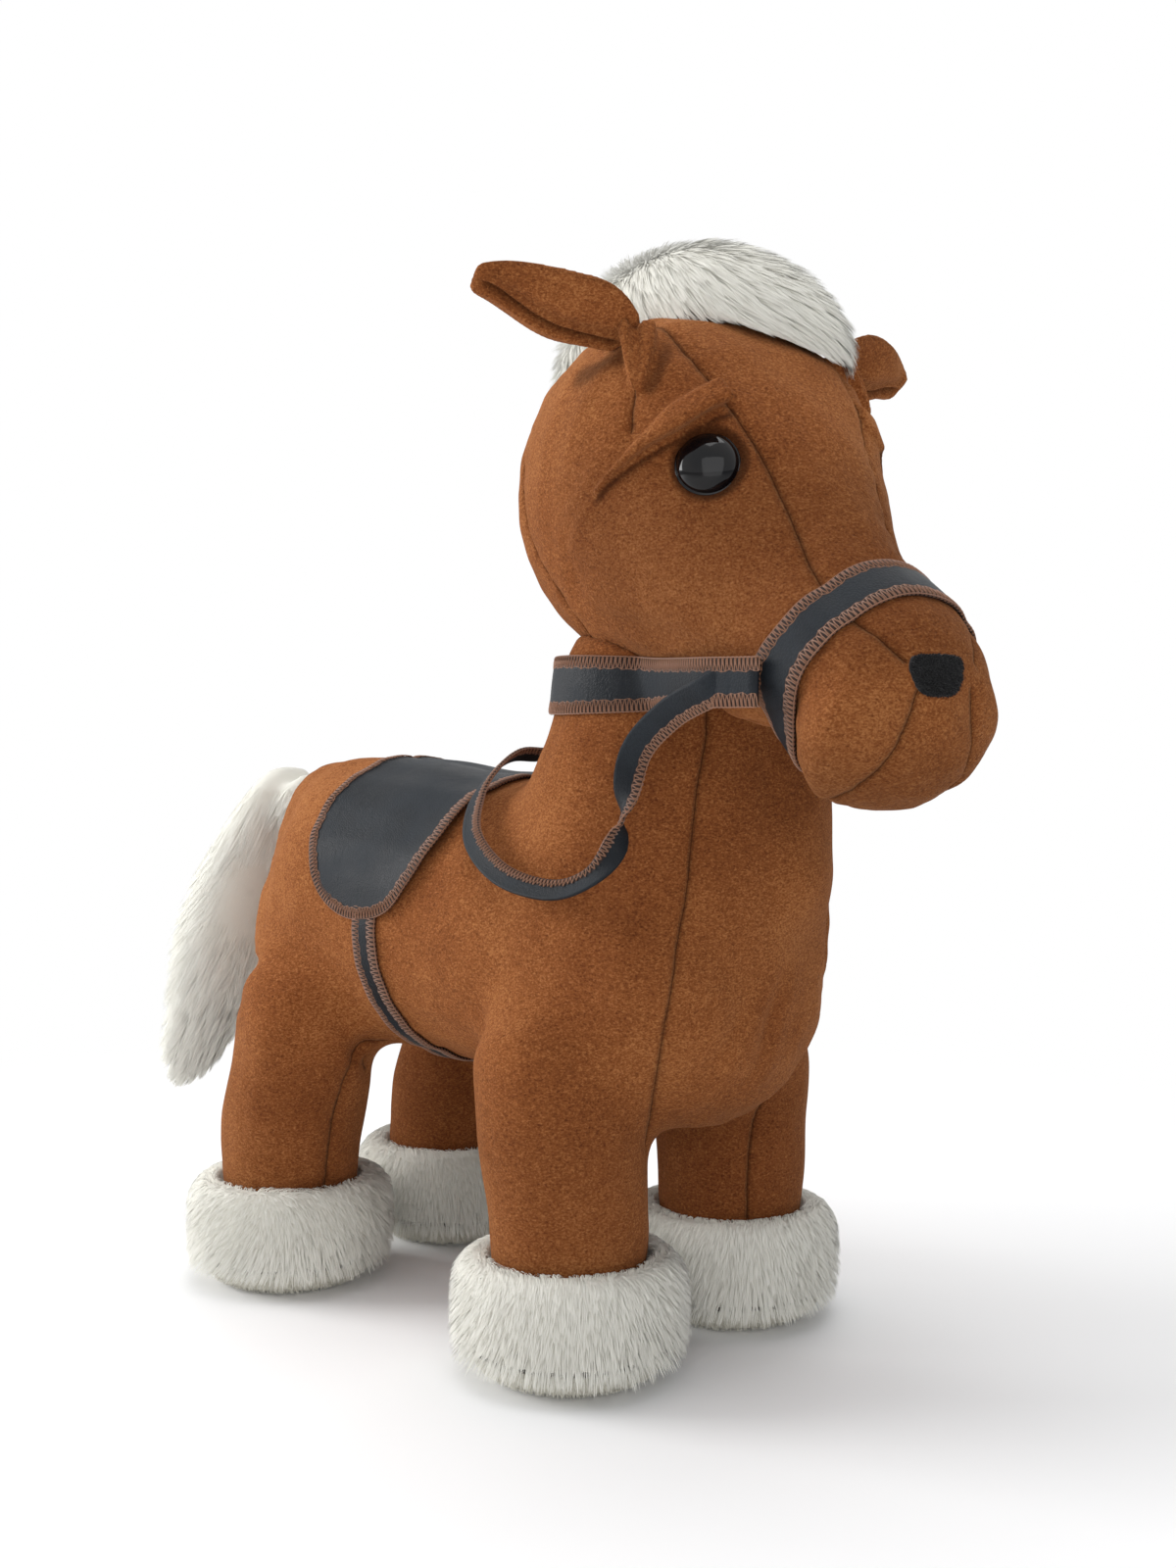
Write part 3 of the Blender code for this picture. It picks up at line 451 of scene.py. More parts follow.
def smoothstep(values, low, high):
    share = np.clip((values - low) / (high - low), 0.0, 1.0)
    return share * share * (3 - 2 * share)


def falling(values, low, high):
    """From 1 at low to 0 at high."""
    return smoothstep(-values, -high, -low)


def node_tree(node):
    return tree_of(frame["nodes"][node].data)


def joint_root(child):
    """Where a moving body turns."""
    joint = next(joint for joint in frame["joints"] if joint["child"] == child)
    return np.array(joint["pos_m"])


class Seams:
    """Sewn lines on a skin: each vertex learns how far it is from the nearest, and on which side."""

    def __init__(self, routes, tree):
        self.places, self.tangents, self.normals = [], [], []
        for route in routes:
            line = []
            for point in smooth_route(route, 1.2 * MM):
                line.append(tree.find_nearest(point)[:2])
            for index, (place, normal) in enumerate(line):
                before, after = around(line, index)
                self.places.append(place)
                self.tangents.append((after[0] - before[0]).normalized())
                self.normals.append(normal)
        self.kd = tree_of_points(self.places)

    def measure(self, points, reach=12.0 * MM):
        near = np.full(len(points), reach)
        side = np.full(len(points), reach)
        for index, point in enumerate(points):
            _, nearest, distance = self.kd.find(Vector(point))
            if distance < reach:
                near[index] = distance
                across = self.tangents[nearest].cross(self.normals[nearest])
                side[index] = across.dot(Vector(point) - self.places[nearest])
        return near / MM, side / MM


# ---------------------------------------------------------------- brown skins

HEAD_AXES = Matrix.Rotation(HEAD_TURN, 3, "Z")
HEAD_ORIGIN = head_point(0, 0, 0)


def to_head(points):
    """Shared-frame metres to the head's own millimetres."""
    return (np.asarray(points) - np.array(HEAD_ORIGIN)) @ np.array(HEAD_AXES) / MM


def to_body(points):
    return (np.asarray(points) - np.array(OFFSET)) / MM


def right_half(local):
    """The points, with those on the left mirrored to the right."""
    half = local.copy()
    half[:, 1] = -np.abs(half[:, 1])
    return half


def both_halves(routes, to_shared):
    """Routes on the right half and their mirrored copies, in the shared frame."""
    return [[to_shared(x, side * y, z) for x, y, z in route] for route in routes for side in (1, -1)]


# The noseband's middle, and the way its loop faces, in the head's own millimetres
STRAP_PLACE = (250.0, 0.0, 310.0)
STRAP_AHEAD = (0.866, 0.0, -0.5)

# Head seams on the right half, in the head's own millimetres
GUSSET = [(132, -30, 462), (150, -36, 457), (171, -39, 446), (183, -40, 437), (196, -37, 423), (205, -35, 413),
          (220, -29, 390), (232, -25, 366), (245, -26, 347), (259, -27, 334), (273, -28, 325), (283, -24, 318),
          (289, -19, 311)]
BACK_SEAM = [(112, -28, 316), (116, -49, 331), (112, -56, 343), (102, -59, 354), (97, -60, 362), (92, -63, 376),
             (86, -63, 395), (80, -60, 420), (78, -50, 442), (80, -34, 456)]
DART = [(177, -61, 420), (177, -62, 415), (178, -64, 405)]
CHIN = [(291, -14, 299), (290, -16, 290), (289, -18, 284), (284, -21, 275), (277, -24, 267), (267, -25, 262),
        (252, -24, 260), (234, -20, 261), (214, -16, 268), (190, -12, 284)]
JAW = [(252, -24, 260), (247, -31, 266), (246, -37, 273), (246, -43, 281)]

head_routes = both_halves((GUSSET, BACK_SEAM, DART, CHIN, JAW), head_point)

# Body seams, in the body's own millimetres
CHEST_SEAM = [(152, -30, 300), (160, -36, 280), (159, -40, 261), (158, -43, 236), (158, -46, 215), (158, -53, 187),
              (153, -55, 159), (144, -50, 134), (134, -42, 112), (129, -37, 95), (127, -36, 70), (127, -36, 45)]
BELLY_SEAM = [(72, -44, 112), (50, -40, 110), (20, -38, 112), (-12, -38, 113), (-40, -42, 113), (-58, -44, 112)]
HAUNCH_SEAM = [(-44, -30, 118), (-50, -46, 127), (-49, -56, 119), (-52, -60, 104), (-57, -61, 89), (-61, -61, 73),
               (-63, -61, 50)]
BACK_LINE = [(40, 0, 262), (10, 0, 262), (-40, 0, 262), (-90, 0, 266), (-125, 0, 260), (-148, 0, 235), (-156, 0, 205),
             (-150, 0, 165), (-130, 0, 130)]

body_routes = both_halves((CHEST_SEAM, BELLY_SEAM, HAUNCH_SEAM), body_point)
body_routes.append([body_point(*point) for point in BACK_LINE])


def dent(distance, width):
    return np.exp(-(distance / width) ** 2)


def ripple(points, first, second):
    """A slow unevenness from two crossed waves."""
    return np.sin(points @ np.array(first)) * np.sin(points @ np.array(second))


def sewn(mesh, routes, wide):
    """Pull a skin in along its seams, with small puckers, and note where the seams lie."""
    points, normals = points_of(mesh), normals_of(mesh)
    near, side = Seams(routes, tree_of(mesh)).measure(points)
    pucker = np.sin(points @ np.array([610.0, 540.0, 700.0])) * 0.5 + np.sin(points @ np.array([-350.0, 420.0, 390.0]))
    depth = dent(near, 2.0) + wide * dent(near, 6.0) * (1 + 0.18 * pucker)
    set_points(mesh, points - normals * (depth * MM)[:, None])
    put_attribute(mesh, "seam_near", near)
    put_attribute(mesh, "seam_side", side)


def fold(local, start, end, width, depth):
    """How much a soft crease from start to end lowers each point, in millimetres."""
    start = np.array(start, float)
    along = np.array(end, float) - start
    share = np.clip((local - start) @ along / (along @ along), 0, 1)
    gap = np.linalg.norm(local - start - share[:, None] * along, axis=1)
    taper = np.sin(math.pi * np.clip(0.08 + 0.84 * share, 0, 1))
    return depth * taper * (dent(gap, width) - 0.45 * dent(gap - 1.7 * width, width))


# Lines by the right eye and ear, in the head's own millimetres
LID_TOP = [(163, -70, 381), (169, -69, 386), (176, -67, 391), (182, -63, 399), (187, -58, 406), (190, -53, 414),
           (194, -46, 419), (196, -38, 423)]
LID_EDGE = [(164, -71, 379), (170, -69, 384), (180, -65, 390), (188, -60, 395), (196, -53, 400), (202, -45, 406),
            (205, -36, 410)]
EAR_WEB = [(142, -64, 431), (153, -63, 432), (164, -56, 437)]
PLEAT_REAR = [(162, -55, 440), (166, -57, 434), (170, -59, 428), (177, -61, 418)]
PLEAT_FRONT = [(170, -44, 445), (174, -48, 439), (177, -52, 432), (180, -58, 420)]
PLEAT_FOOT = [(174, -42, 446), (178, -46, 439), (181, -51, 431), (182, -57, 421)]
SKULL_CORE = (126, 0, 372)


def roll_between(name, side, upper, lower, count, section):
    """A roll of cloth on the head between two lines; section gives its loop at a share of their length."""
    skull = node_tree("head")
    core = head_point(*SKULL_CORE)
    lines = [smooth_route([head_point(x, side * y, z) for x, y, z in line], MM) for line in (upper, lower)]
    rows = []
    for index in range(count + 1):
        share = index / count
        first, second = (skull.find_nearest(line[int(share * (len(line) - 1))])[0] for line in lines)
        outward = ((first + second) / 2 - core).normalized()
        rows.append(section(share, first, second, outward))
    return tube_of(rows, name)


def lid_volume(side):
    """A folded roll of cloth over the eye, flatter on the left; side is 1 on the right."""
    height = 11.5 if side > 0 else 0.6

    def section(share, first, second, outward):
        proud = (1.0 + height * min(1.0, share * 1.6) ** 0.8) * MM
        edge = second + outward * proud + (second - first) * 0.10
        crown = first.lerp(second, 0.45) + outward * (proud * 0.80 + 1.6 * MM)
        return [first - outward * 1.5 * MM, first + outward * 1.0 * MM + (second - first) * 0.05, crown,
                edge + (first - second) * 0.10 + outward * 0.9 * MM, edge + (second - first) * 0.02,
                edge - outward * 2.2 * MM, second - outward * 3.0 * MM - (second - first) * 0.25,
                first.lerp(second, 0.5) - outward * 4.0 * MM]

    return roll_between("lid", side, LID_TOP, LID_EDGE, 26, section)


def pleat_volume(side):
    """The pinched pleat that holds an ear's front corner to the head."""
    def section(share, first, second, outward):
        proud = outward * ((12.5 - 8.5 * share) * MM)
        deep = outward * (3.0 * MM)
        across = second - first
        return [first - deep, first + proud * 0.9 - across * 0.10, first + proud * 1.1 + across * 0.15,
                first + proud * 0.45 + across * 0.38, first + proud * 0.85 + across * 0.62,
                second + proud * 0.75, second - deep]

    return roll_between("pleat", side, PLEAT_REAR, PLEAT_FRONT, 16, section)


def wall_faces(loops, size, first=0):
    """Faces that join neighbouring loops of one size into a tube's wall."""
    faces = []
    for near in range(first, first + (loops - 1) * size, size):
        for step in range(size):
            after = (step + 1) % size
            faces.append((near + step, near + after, near + size + after, near + size + step))
    return faces


def tube_of(rows, name):
    """A closed tube through loops of the same length."""
    size = len(rows[0])
    caps = [tuple(range(size))[::-1], tuple(range((len(rows) - 1) * size, len(rows) * size))]
    return mesh_from(name, [point for loop in rows for point in loop], caps + wall_faces(len(rows), size))


# Folds: start, end, width and depth, in millimetres; HEAD_FOLDS and BODY_FOLDS lie on both halves
NOSE_FOLDS = [((x, -22, z - 2), (x + 1, 24, z + 3), 3.6, depth)
              for x, z, depth in ((217, 388, 1.0), (226, 377, 1.4), (235, 364, 1.3), (243, 352, 1.0))]
HEAD_FOLDS = [((166, -67, 387), (136, -66, 362), 3.0, 2.6), ((171, -59, 408), (158, -50, 428), 3.0, 1.6),
              ((130, -60, 330), (205, -50, 318), 6.0, 1.6), ((140, -66, 350), (128, -64, 335), 6.0, 1.2)]
CHEST_FOLDS = [((172, 6, 178), (163, -8, 134), 5.0, 1.8), ((170, -18, 168), (158, -32, 138), 5.0, 1.3)]
BODY_FOLDS = [((60, -72, 160), (78, -66, 120), 7.0, 2.2), ((50, -76, 214), (62, -66, 236), 7.0, 1.8),
              ((-66, -62, 124), (-38, -48, 126), 6.0, 2.0), ((-140, -40, 196), (-120, -62, 150), 12.0, 1.6),
              ((120, -74, 262), (84, -70, 250), 8.0, 1.5)]


def folded(local, half, single, paired):
    """How much all the folds of a skin lower each point."""
    lower = np.zeros(len(local))
    for places, folds in ((local, single), (half, paired)):
        for line in folds:
            lower += fold(places, *line)
    return lower


def wrinkle_head(mesh):
    """Soft folds of the stuffed head: nose bridge, behind the lids, temples and throat."""
    points, normals = points_of(mesh), normals_of(mesh)
    local = to_head(points)
    half = right_half(local)
    lower = folded(local, half, NOSE_FOLDS, HEAD_FOLDS)
    # The muzzle swells on both sides of the noseband and is hollow under the jaw
    ahead = (half - np.array(STRAP_PLACE)) @ np.array(STRAP_AHEAD)
    front = smoothstep(ahead, 7.0, 15.0) * falling(ahead, 26.0, 52.0)
    rear = smoothstep(-ahead, 8.0, 16.0) * smoothstep(ahead, -52.0, -26.0)
    low = falling(half[:, 2], 282.0, 306.0) * smoothstep(-half[:, 1], 12.0, 30.0)
    lower -= 5.2 * front * low + 1.6 * rear * low
    under = falling(half[:, 2], 282.0, 312.0)
    lower += 11.0 * under * smoothstep(ahead, -46.0, -20.0) * falling(ahead, 6.0, 32.0)
    wave = ripple(local, (0.11, 0.06, 0.09), (-0.05, 0.12, 0.10))
    set_points(mesh, points - normals * ((lower - 0.5 * wave) * MM)[:, None])


def head_way(x, y, z):
    """A way in the head's own frame, turned into the shared frame."""
    return np.array(head_point(x, y, z) - head_point(0, 0, 0)) * 1000.0


def head_shade(points):
    """Painted shade: darker cloth round the eyes, under the right lid, along the right ear's web and pleat, and on the
    cheeks, mouth and chin.
    """
    shade = np.zeros(len(points))
    # Painted shade round each eye, where it sits in the cloth
    for name, _ in SIDES:
        eye = sum(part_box("eye_" + name), Vector()) / 2
        gap = np.linalg.norm(points - np.array(eye), axis=1) / MM
        shade = np.maximum(shade, 0.80 * falling(gap, 14.5, 17.5))
    # Painted shadow under the right lid's edge, and painted shade along the right ear's web and the pleat's foot
    for line, depth, reach, under in ((LID_EDGE, 0.85, 5.0, True), (EAR_WEB, 0.65, 9.0, False),
                                      (PLEAT_FOOT, 0.60, 4.5, False)):
        route = np.array([list(place) for place in smooth_route([head_point(*place) for place in line], MM)])
        gap = np.linalg.norm(points[:, None] - route[None], axis=2)
        cast = falling(gap.min(1) / MM, 1.0, reach) * depth
        if under:
            cast *= smoothstep((points - route[gap.argmin(1)]) @ unit(head_way(8, 5, -13)), 0.0, 0.0012)
        shade = np.maximum(shade, cast)
    # Painted shade on the cheeks, the mouth and the chin
    local = to_head(points)
    cheek = smoothstep(local[:, 0], 120.0, 165.0) * smoothstep(local[:, 2], 285.0, 320.0)
    cheek *= falling(local[:, 2], 370.0, 415.0)
    mouth = smoothstep(local[:, 0], 225.0, 255.0) * falling(local[:, 2], 282.0, 302.0)
    chin = falling(local[:, 2], 262.0, 285.0)
    return 1 - (1 - shade) * (1 - 0.32 * cheek) * (1 - 0.20 * mouth) * (1 - 0.30 * chin)


def make_head():
    mesh = remeshed(merged([cad_copy(["head", "nose_patch"], 0.2 * MM)]), 1.5 * MM)
    set_points(mesh, relaxed(mesh, 40))
    mesh = remeshed(merged([mesh] + [volume(side) for volume in (lid_volume, pleat_volume) for _, side in SIDES]),
                    1.4 * MM)
    set_points(mesh, relaxed(mesh, 5))
    wrinkle_head(mesh)
    sewn(mesh, head_routes, 0.9)
    put_attribute(mesh, "shade", head_shade(points_of(mesh)))
    skin = new_object("head_skin", mesh, BROWN)
    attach(skin, "horse")
    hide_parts("head", "eyelid_right", "eyelid_left")
    return skin


def wrinkle_body(mesh):
    """Soft folds where the stuffed legs meet the body, and on the chest and neck."""
    points, normals = points_of(mesh), normals_of(mesh)
    local = to_body(points)
    half = right_half(local)
    lower = folded(local, half, CHEST_FOLDS, BODY_FOLDS)
    rump = smoothstep(-local[:, 0], 84.0, 128.0) * smoothstep(local[:, 2], 182.0, 212.0)
    # The rump dips, but the back seam rises to meet the tail's root
    seat = np.exp(-(((local - to_body(joint_root("tail"))) / 30.0) ** 2).sum(1))
    lower += 7.5 * rump * falling(local[:, 2], 236.0, 262.0) * (1 - seat) - 7.0 * seat
    thigh = smoothstep(-local[:, 0], 62.0, 100.0) * smoothstep(-half[:, 1], 15.0, 42.0)
    lower += thigh * (4.5 * np.exp(-((local[:, 2] - 128.0) / 30.0) ** 2)
                      - 8.5 * np.exp(-((local[:, 2] - 168.0) / 12.0) ** 2))
    # The turned head pushes the stuffing to the left side of the neck
    left = local @ np.array([0.731, 0.682, 0.0])
    lower -= (9.0 * smoothstep(left, 116.0, 146.0) * smoothstep(local[:, 2], 180.0, 222.0)
              * falling(local[:, 2], 262.0, 292.0))
    wave = ripple(local, (0.05, 0.07, 0.06), (-0.06, 0.03, 0.07))
    set_points(mesh, points - normals * ((lower - 0.8 * wave) * MM)[:, None])


def make_body():
    legs = ["leg_" + foot for foot in FEET]
    trunk = ["torso", "neck"]
    mesh = remeshed(cad_copy(trunk + legs, 0.6 * MM), 2.3 * MM)
    points = relaxed(mesh, 40)
    # Where two solids meet, the skin is smoothed into one soft form
    reach = 24.0 * MM
    gaps = {node: distances(node_tree(node), points, reach) for node in trunk + legs}
    leg_gap = np.min([gaps[leg] for leg in legs], axis=0)
    blend = np.maximum(*(falling(np.maximum(gap, gaps["torso"]), 3.0 * MM, reach) for gap in (leg_gap, gaps["neck"])))
    set_points(mesh, relax(points, edges_of(mesh), 160, blend, 0))
    wrinkle_body(mesh)
    sewn(mesh, body_routes, 1.2)
    local = to_body(points_of(mesh))
    # Painted shade, darker down the legs and towards the front of the chest
    put_attribute(mesh, "shade", 0.16 * falling(local[:, 2], 95.0, 150.0)
                  + 0.10 * smoothstep(local[:, 0], 95.0, 150.0))
    skin = new_object("body_skin", mesh, BROWN)
    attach(skin, "horse")
    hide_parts(*trunk, *legs)
    return skin


head_skin = make_head()
body_skin = make_body()
head_tree = tree_of(head_skin.data)
body_tree = tree_of(body_skin.data)


# ---------------------------------------------------------------- eyes

def turned(name, profile, steps, matrix, material):
    """A closed solid of revolution about its own Z axis."""
    points = []
    for radius, height in profile:
        for step in range(steps):
            angle = 2 * math.pi * step / steps
            points.append(matrix @ Vector((radius * math.cos(angle), radius * math.sin(angle), height)))
    faces = [(a, d, c, b) for a, b, c, d in wall_faces(len(profile), steps)]
    faces.append(tuple(range(steps)))
    faces.append(tuple(range((len(profile) - 1) * steps, len(profile) * steps))[::-1])
    return new_object(name, mesh_from(name, points, faces), material)


# Millimetres from the washer's middle to the flange's back; the left eye is deeper, to stay out of the outline
EYE_PROUD = {"right": 8.2, "left": 5.8}


def make_eye(name):
    spots = points_of(frame["nodes"]["eye_" + name].data)
    washer = frame["nodes"]["eye_washer_" + name].data
    ends = points_of(washer)
    back = (ends.min(0) + ends.max(0)) / 2
    flange = spots[np.linalg.norm(spots - back, axis=1) > 15.0 * MM]
    axis = Vector(flange.mean(0) - back).normalized()
    across = axis.cross(Z).normalized()
    matrix = Matrix((across, axis.cross(across), axis)).transposed().to_4x4()
    matrix.translation = Vector(back) + axis * EYE_PROUD[name] * MM
    profile = []
    steps = 14
    for step in range(steps + 1):
        angle = math.pi / 2 * (1 - step / steps)
        profile.append((max(12.4 * MM * math.cos(angle), 0.02 * MM), (1.5 + 7.6 * math.sin(angle)) * MM))
    profile += [(12.7 * MM, 1.6 * MM), (13.1 * MM, 1.3 * MM), (13.2 * MM, 0.8 * MM), (13.1 * MM, 0.2 * MM),
                (12.6 * MM, 0.0), (2.6 * MM, -0.1 * MM), (2.5 * MM, -0.4 * MM), (2.5 * MM, -14.6 * MM),
                (2.2 * MM, -15.0 * MM), (0.05 * MM, -15.0 * MM)]
    eye = turned("eye_dome_" + name, profile, 64, matrix, EYE)
    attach(eye, "horse")
    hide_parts("eye_" + name)
    washer.materials.clear()
    washer.materials.append(NYLON)


for side_name, _ in SIDES:
    make_eye(side_name)


# ---------------------------------------------------------------- faux leather with overlocked edges

LEATHER_THICK = 1.3 * MM
OVERLOCK = 5.0 * MM
STITCH_PITCH = 2.15 * MM
THREAD_RADIUS = 0.27 * MM


def tube_rows(route, radius, sides=4):
    """Rings of a thin tube along a route."""
    rings = []
    for index, place in enumerate(route):
        before, after = around(route, index)
        tangent = (after - before).normalized()
        across = tangent.cross(Vector((0.31, 0.17, 0.93)))
        if across.length < 0.05:
            across = tangent.cross(Vector((0.93, 0.31, 0.17)))
        across.normalize()
        other = tangent.cross(across)
        rings.append([place + (across * math.cos(2 * math.pi * step / sides)
                               + other * math.sin(2 * math.pi * step / sides)) * radius for step in range(sides)])
    return rings


class Bundle:
    """Points and faces of many small tubes, gathered into one mesh."""

    def __init__(self):
        self.points, self.faces = [], []

    def tube(self, route, radius, sides=4):
        first = len(self.points)
        rings = tube_rows(route, radius, sides)
        for ring in rings:
            self.points.extend(ring)
        self.faces += wall_faces(len(rings), sides, first)
        last = first + (len(rings) - 1) * sides
        self.faces.append(tuple(range(first, first + sides))[::-1])
        self.faces.append(tuple(range(last, last + sides)))

    def build(self, name, material):
        return new_object(name, mesh_from(name, self.points, self.faces), material)


def resampled(line, normals, step, closed):
    """Evenly spaced places, unit tangents and normals along a line."""
    places = [Vector(place) for place in line]
    heads = [Vector(normal) for normal in normals]
    if closed:
        places.append(places[0])
        heads.append(heads[0])
    lengths = [0.0]
    for first, second in zip(places, places[1:]):
        lengths.append(lengths[-1] + (second - first).length)
    count = max(2, round(lengths[-1] / step))
    result = []
    piece = 0
    for number in range(count if closed else count + 1):
        goal = lengths[-1] * number / count
        while piece < len(places) - 2 and lengths[piece + 1] < goal:
            piece += 1
        span = max(lengths[piece + 1] - lengths[piece], 1e-9)
        share = (goal - lengths[piece]) / span
        result.append((places[piece].lerp(places[piece + 1], share), heads[piece].lerp(heads[piece + 1], share)))
    stations = []
    for index, (place, normal) in enumerate(result):
        before, after = around(result, index, closed)
        stations.append((place, (after[0] - before[0]).normalized(), normal.normalized()))
    return stations


def across_of(tangent, normal, inward):
    return normal.cross(tangent).normalized() * inward


def overlock(bundle, line, normals, inward, closed=False, both_faces=False, hem=OVERLOCK):
    """Stitches that wrap an edge; inward is +1 or -1, the side of the line where the cloth lies."""
    stations = resampled(line, normals, STITCH_PITCH, closed)
    lift = LEATHER_THICK / 2 + THREAD_RADIUS * 0.7
    needles = []
    for index, (place, tangent, normal) in enumerate(stations if closed else stations[:-1]):
        across = across_of(tangent, normal, inward)
        sway = 1.0 + 0.10 * math.sin(index * 2.4) + 0.06 * math.sin(index * 5.1)
        needle = place + across * hem * sway + normal * lift
        needles.append(needle)
        for lean in (-0.36, 0.36):
            edge = place + tangent * STITCH_PITCH * lean
            route = [needle + tangent * STITCH_PITCH * lean * 0.22,
                     edge + across * hem * 0.45 + normal * (lift + 0.12 * MM),
                     edge + across * 0.5 * MM + normal * lift,
                     edge - across * THREAD_RADIUS * 1.2,
                     edge + across * 0.7 * MM - normal * lift]
            if both_faces:
                route.append(edge + across * hem * 0.5 - normal * lift)
                route.append(place + across * hem * sway - normal * lift)
            bundle.tube(route, THREAD_RADIUS)
    ridge = [place - across_of(tangent, normal, inward) * 0.1 * MM + normal * (lift * 0.6)
             + tangent * 0.2 * MM * math.sin(number) for number, (place, tangent, normal) in enumerate(stations)]
    bundle.tube(ridge, THREAD_RADIUS * 1.1)
    bundle.tube(needles, THREAD_RADIUS * 0.7)


def sheet_mesh(name, grid, normals, closed, thick=LEATHER_THICK):
    """A thick sheet through a grid of points; rows run along it and columns across."""
    rows, columns = len(grid), len(grid[0])
    points = [Vector(point) + Vector(normal) * sign * thick / 2 for sign in (1, -1)
              for line, heads in zip(grid, normals) for point, normal in zip(line, heads)]
    faces = []
    layer = rows * columns

    def quad(flipped, *corners):
        places = [under * layer + (row % rows) * columns + column for row, column, under in corners]
        faces.append(places[::-1] if flipped else places)

    for row in range(rows if closed else rows - 1):
        for column in range(columns - 1):
            quad(False, (row, column, 0), (row, column + 1, 0), (row + 1, column + 1, 0), (row + 1, column, 0))
            quad(False, (row, column, 1), (row + 1, column, 1), (row + 1, column + 1, 1), (row, column + 1, 1))
        for column in (0, columns - 1):
            quad(column > 0, (row, column, 0), (row + 1, column, 0), (row + 1, column, 1), (row, column, 1))
    if not closed:
        for row in (0, rows - 1):
            for column in range(columns - 1):
                quad(row > 0, (row, column, 0), (row, column, 1), (row, column + 1, 1), (row, column + 1, 0))
    mesh = mesh_from(name, points, faces)
    return merged([mesh], mesh)


def length_of(line):
    return sum((after - before).length for before, after in zip(line, line[1:]))


def band(name, node, rows, closed, body="horse", both_faces=False, hem=OVERLOCK,
         one_edge=False):
    """A leather strap from rows of (first edge, second edge, outward), with overlocked long edges."""
    columns = 11
    shares = [column / (columns - 1) for column in range(columns)]
    grid = [[first.lerp(second, share) + outward * (0.35 * MM * (1 - (2 * share - 1) ** 2)) for share in shares]
            for first, second, outward in rows]
    mesh = sheet_mesh(name, grid, [[outward] * columns for _, _, outward in rows], closed)
    edge = []
    for first, second, _ in rows:
        for column in range(columns):
            inset = column if one_edge else min(column, columns - 1 - column)
            edge.append(inset / (columns - 1) * (second - first).length / MM * OVERLOCK / hem)
    put_attribute(mesh, "edge", edge * 2)
    strap = new_object(name, mesh, LEATHER)
    bundle = Bundle()
    firsts, seconds, outwards = zip(*rows)
    inward = orientation(rows)
    overlock(bundle, firsts, outwards, inward, closed, both_faces, hem)
    if not one_edge:
        overlock(bundle, seconds, outwards, -inward, closed, both_faces, hem)
    threads = bundle.build(name + "_threads", THREAD)
    for piece in (strap, threads):
        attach(piece, body)
    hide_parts(node)
    middle = [(first + second) / 2 for first, second, _ in rows]
    length = length_of(middle + middle[:1] if closed else middle)


def orientation(rows):
    """+1 where normal x tangent points from the first edge to the second."""
    first, second, outward = rows[0]
    return 1.0 if outward.cross(rows[1][0] - first).dot(second - first) > 0 else -1.0


def outer_hit(trees, centre, heading, reach=0.25):
    """The outermost skin on a line from outside towards a centre."""
    best = None
    for tree in trees:
        place, _, _, _ = tree.ray_cast(centre + heading * reach, -heading, reach)
        if place is not None:
            gap = (place - centre).dot(heading)
            if best is None or gap > best:
                best = gap
    return best


def taut(values, rounds, closed):
    """Even out radii along a strap, as a pulled band does."""
    values = np.array(values, float)
    for _ in range(rounds):
        if closed:
            values = 0.25 * np.roll(values, 1, 0) + 0.5 * values + 0.25 * np.roll(values, -1, 0)
        else:
            inner = 0.25 * values[:-2] + 0.5 * values[1:-1] + 0.25 * values[2:]
            values = np.concatenate([values[:1], inner, values[-1:]])
    return values


def wrapped_rows(trees, centre, side_axis, up_axis, width_axis, widths, angles, closed, lift, rounds=3, slant=1.0):
    """Rows of a band wound round skins; widths gives the half width at each angle."""
    radii = []
    for angle, half in zip(angles, widths):
        heading = side_axis * math.cos(angle) + up_axis * math.sin(angle)
        found = [outer_hit(trees, centre + width_axis * half * share, heading) for share in (-1, -0.5, 0, 0.5, 1)]
        found = [value if value is not None else 0.0 for value in found]
        swell = max(0.0, *(value - (found[0] + found[4]) / 2 for value in found[1:4])) * 0.6
        one, other = found[0] + swell, found[4] + swell
        radii.append((max(one, other - slant), max(other, one - slant)))
    radii = taut(radii, rounds, closed)
    rows = []
    for (low, high), angle, half in zip(radii, angles, widths):
        heading = side_axis * math.cos(angle) + up_axis * math.sin(angle)
        first = centre - width_axis * half + heading * (low + lift)
        second = centre + width_axis * half + heading * (high + lift)
        rows.append((first, second, heading))
    finished = []
    for index, (first, second, heading) in enumerate(rows):
        before, after = around(rows, index, closed)
        tangent = (after[0] + after[1] - before[0] - before[1]).normalized()
        normal = tangent.cross(second - first).normalized()
        finished.append((first, second, -normal if normal.dot(heading) < 0 else normal))
    return finished


def angles_between(start, end, count):
    return [math.radians(start + (end - start) * index / (count - 1)) for index in range(count)]


def make_noseband():
    pitch = math.radians(30)
    forward = HEAD_AXES @ Vector((math.cos(pitch), 0, -math.sin(pitch)))
    upward = HEAD_AXES @ Vector((math.sin(pitch), 0, math.cos(pitch)))
    centre = head_point(*STRAP_PLACE) - upward * 8 * MM
    count = 150
    angles = [2 * math.pi * index / count for index in range(count)]
    rows = wrapped_rows([head_tree], centre, HEAD_AXES @ Y, upward, forward, [11.5 * MM] * count, angles, True,
                        1.15 * MM)
    band("noseband_strap", "noseband", rows, True)


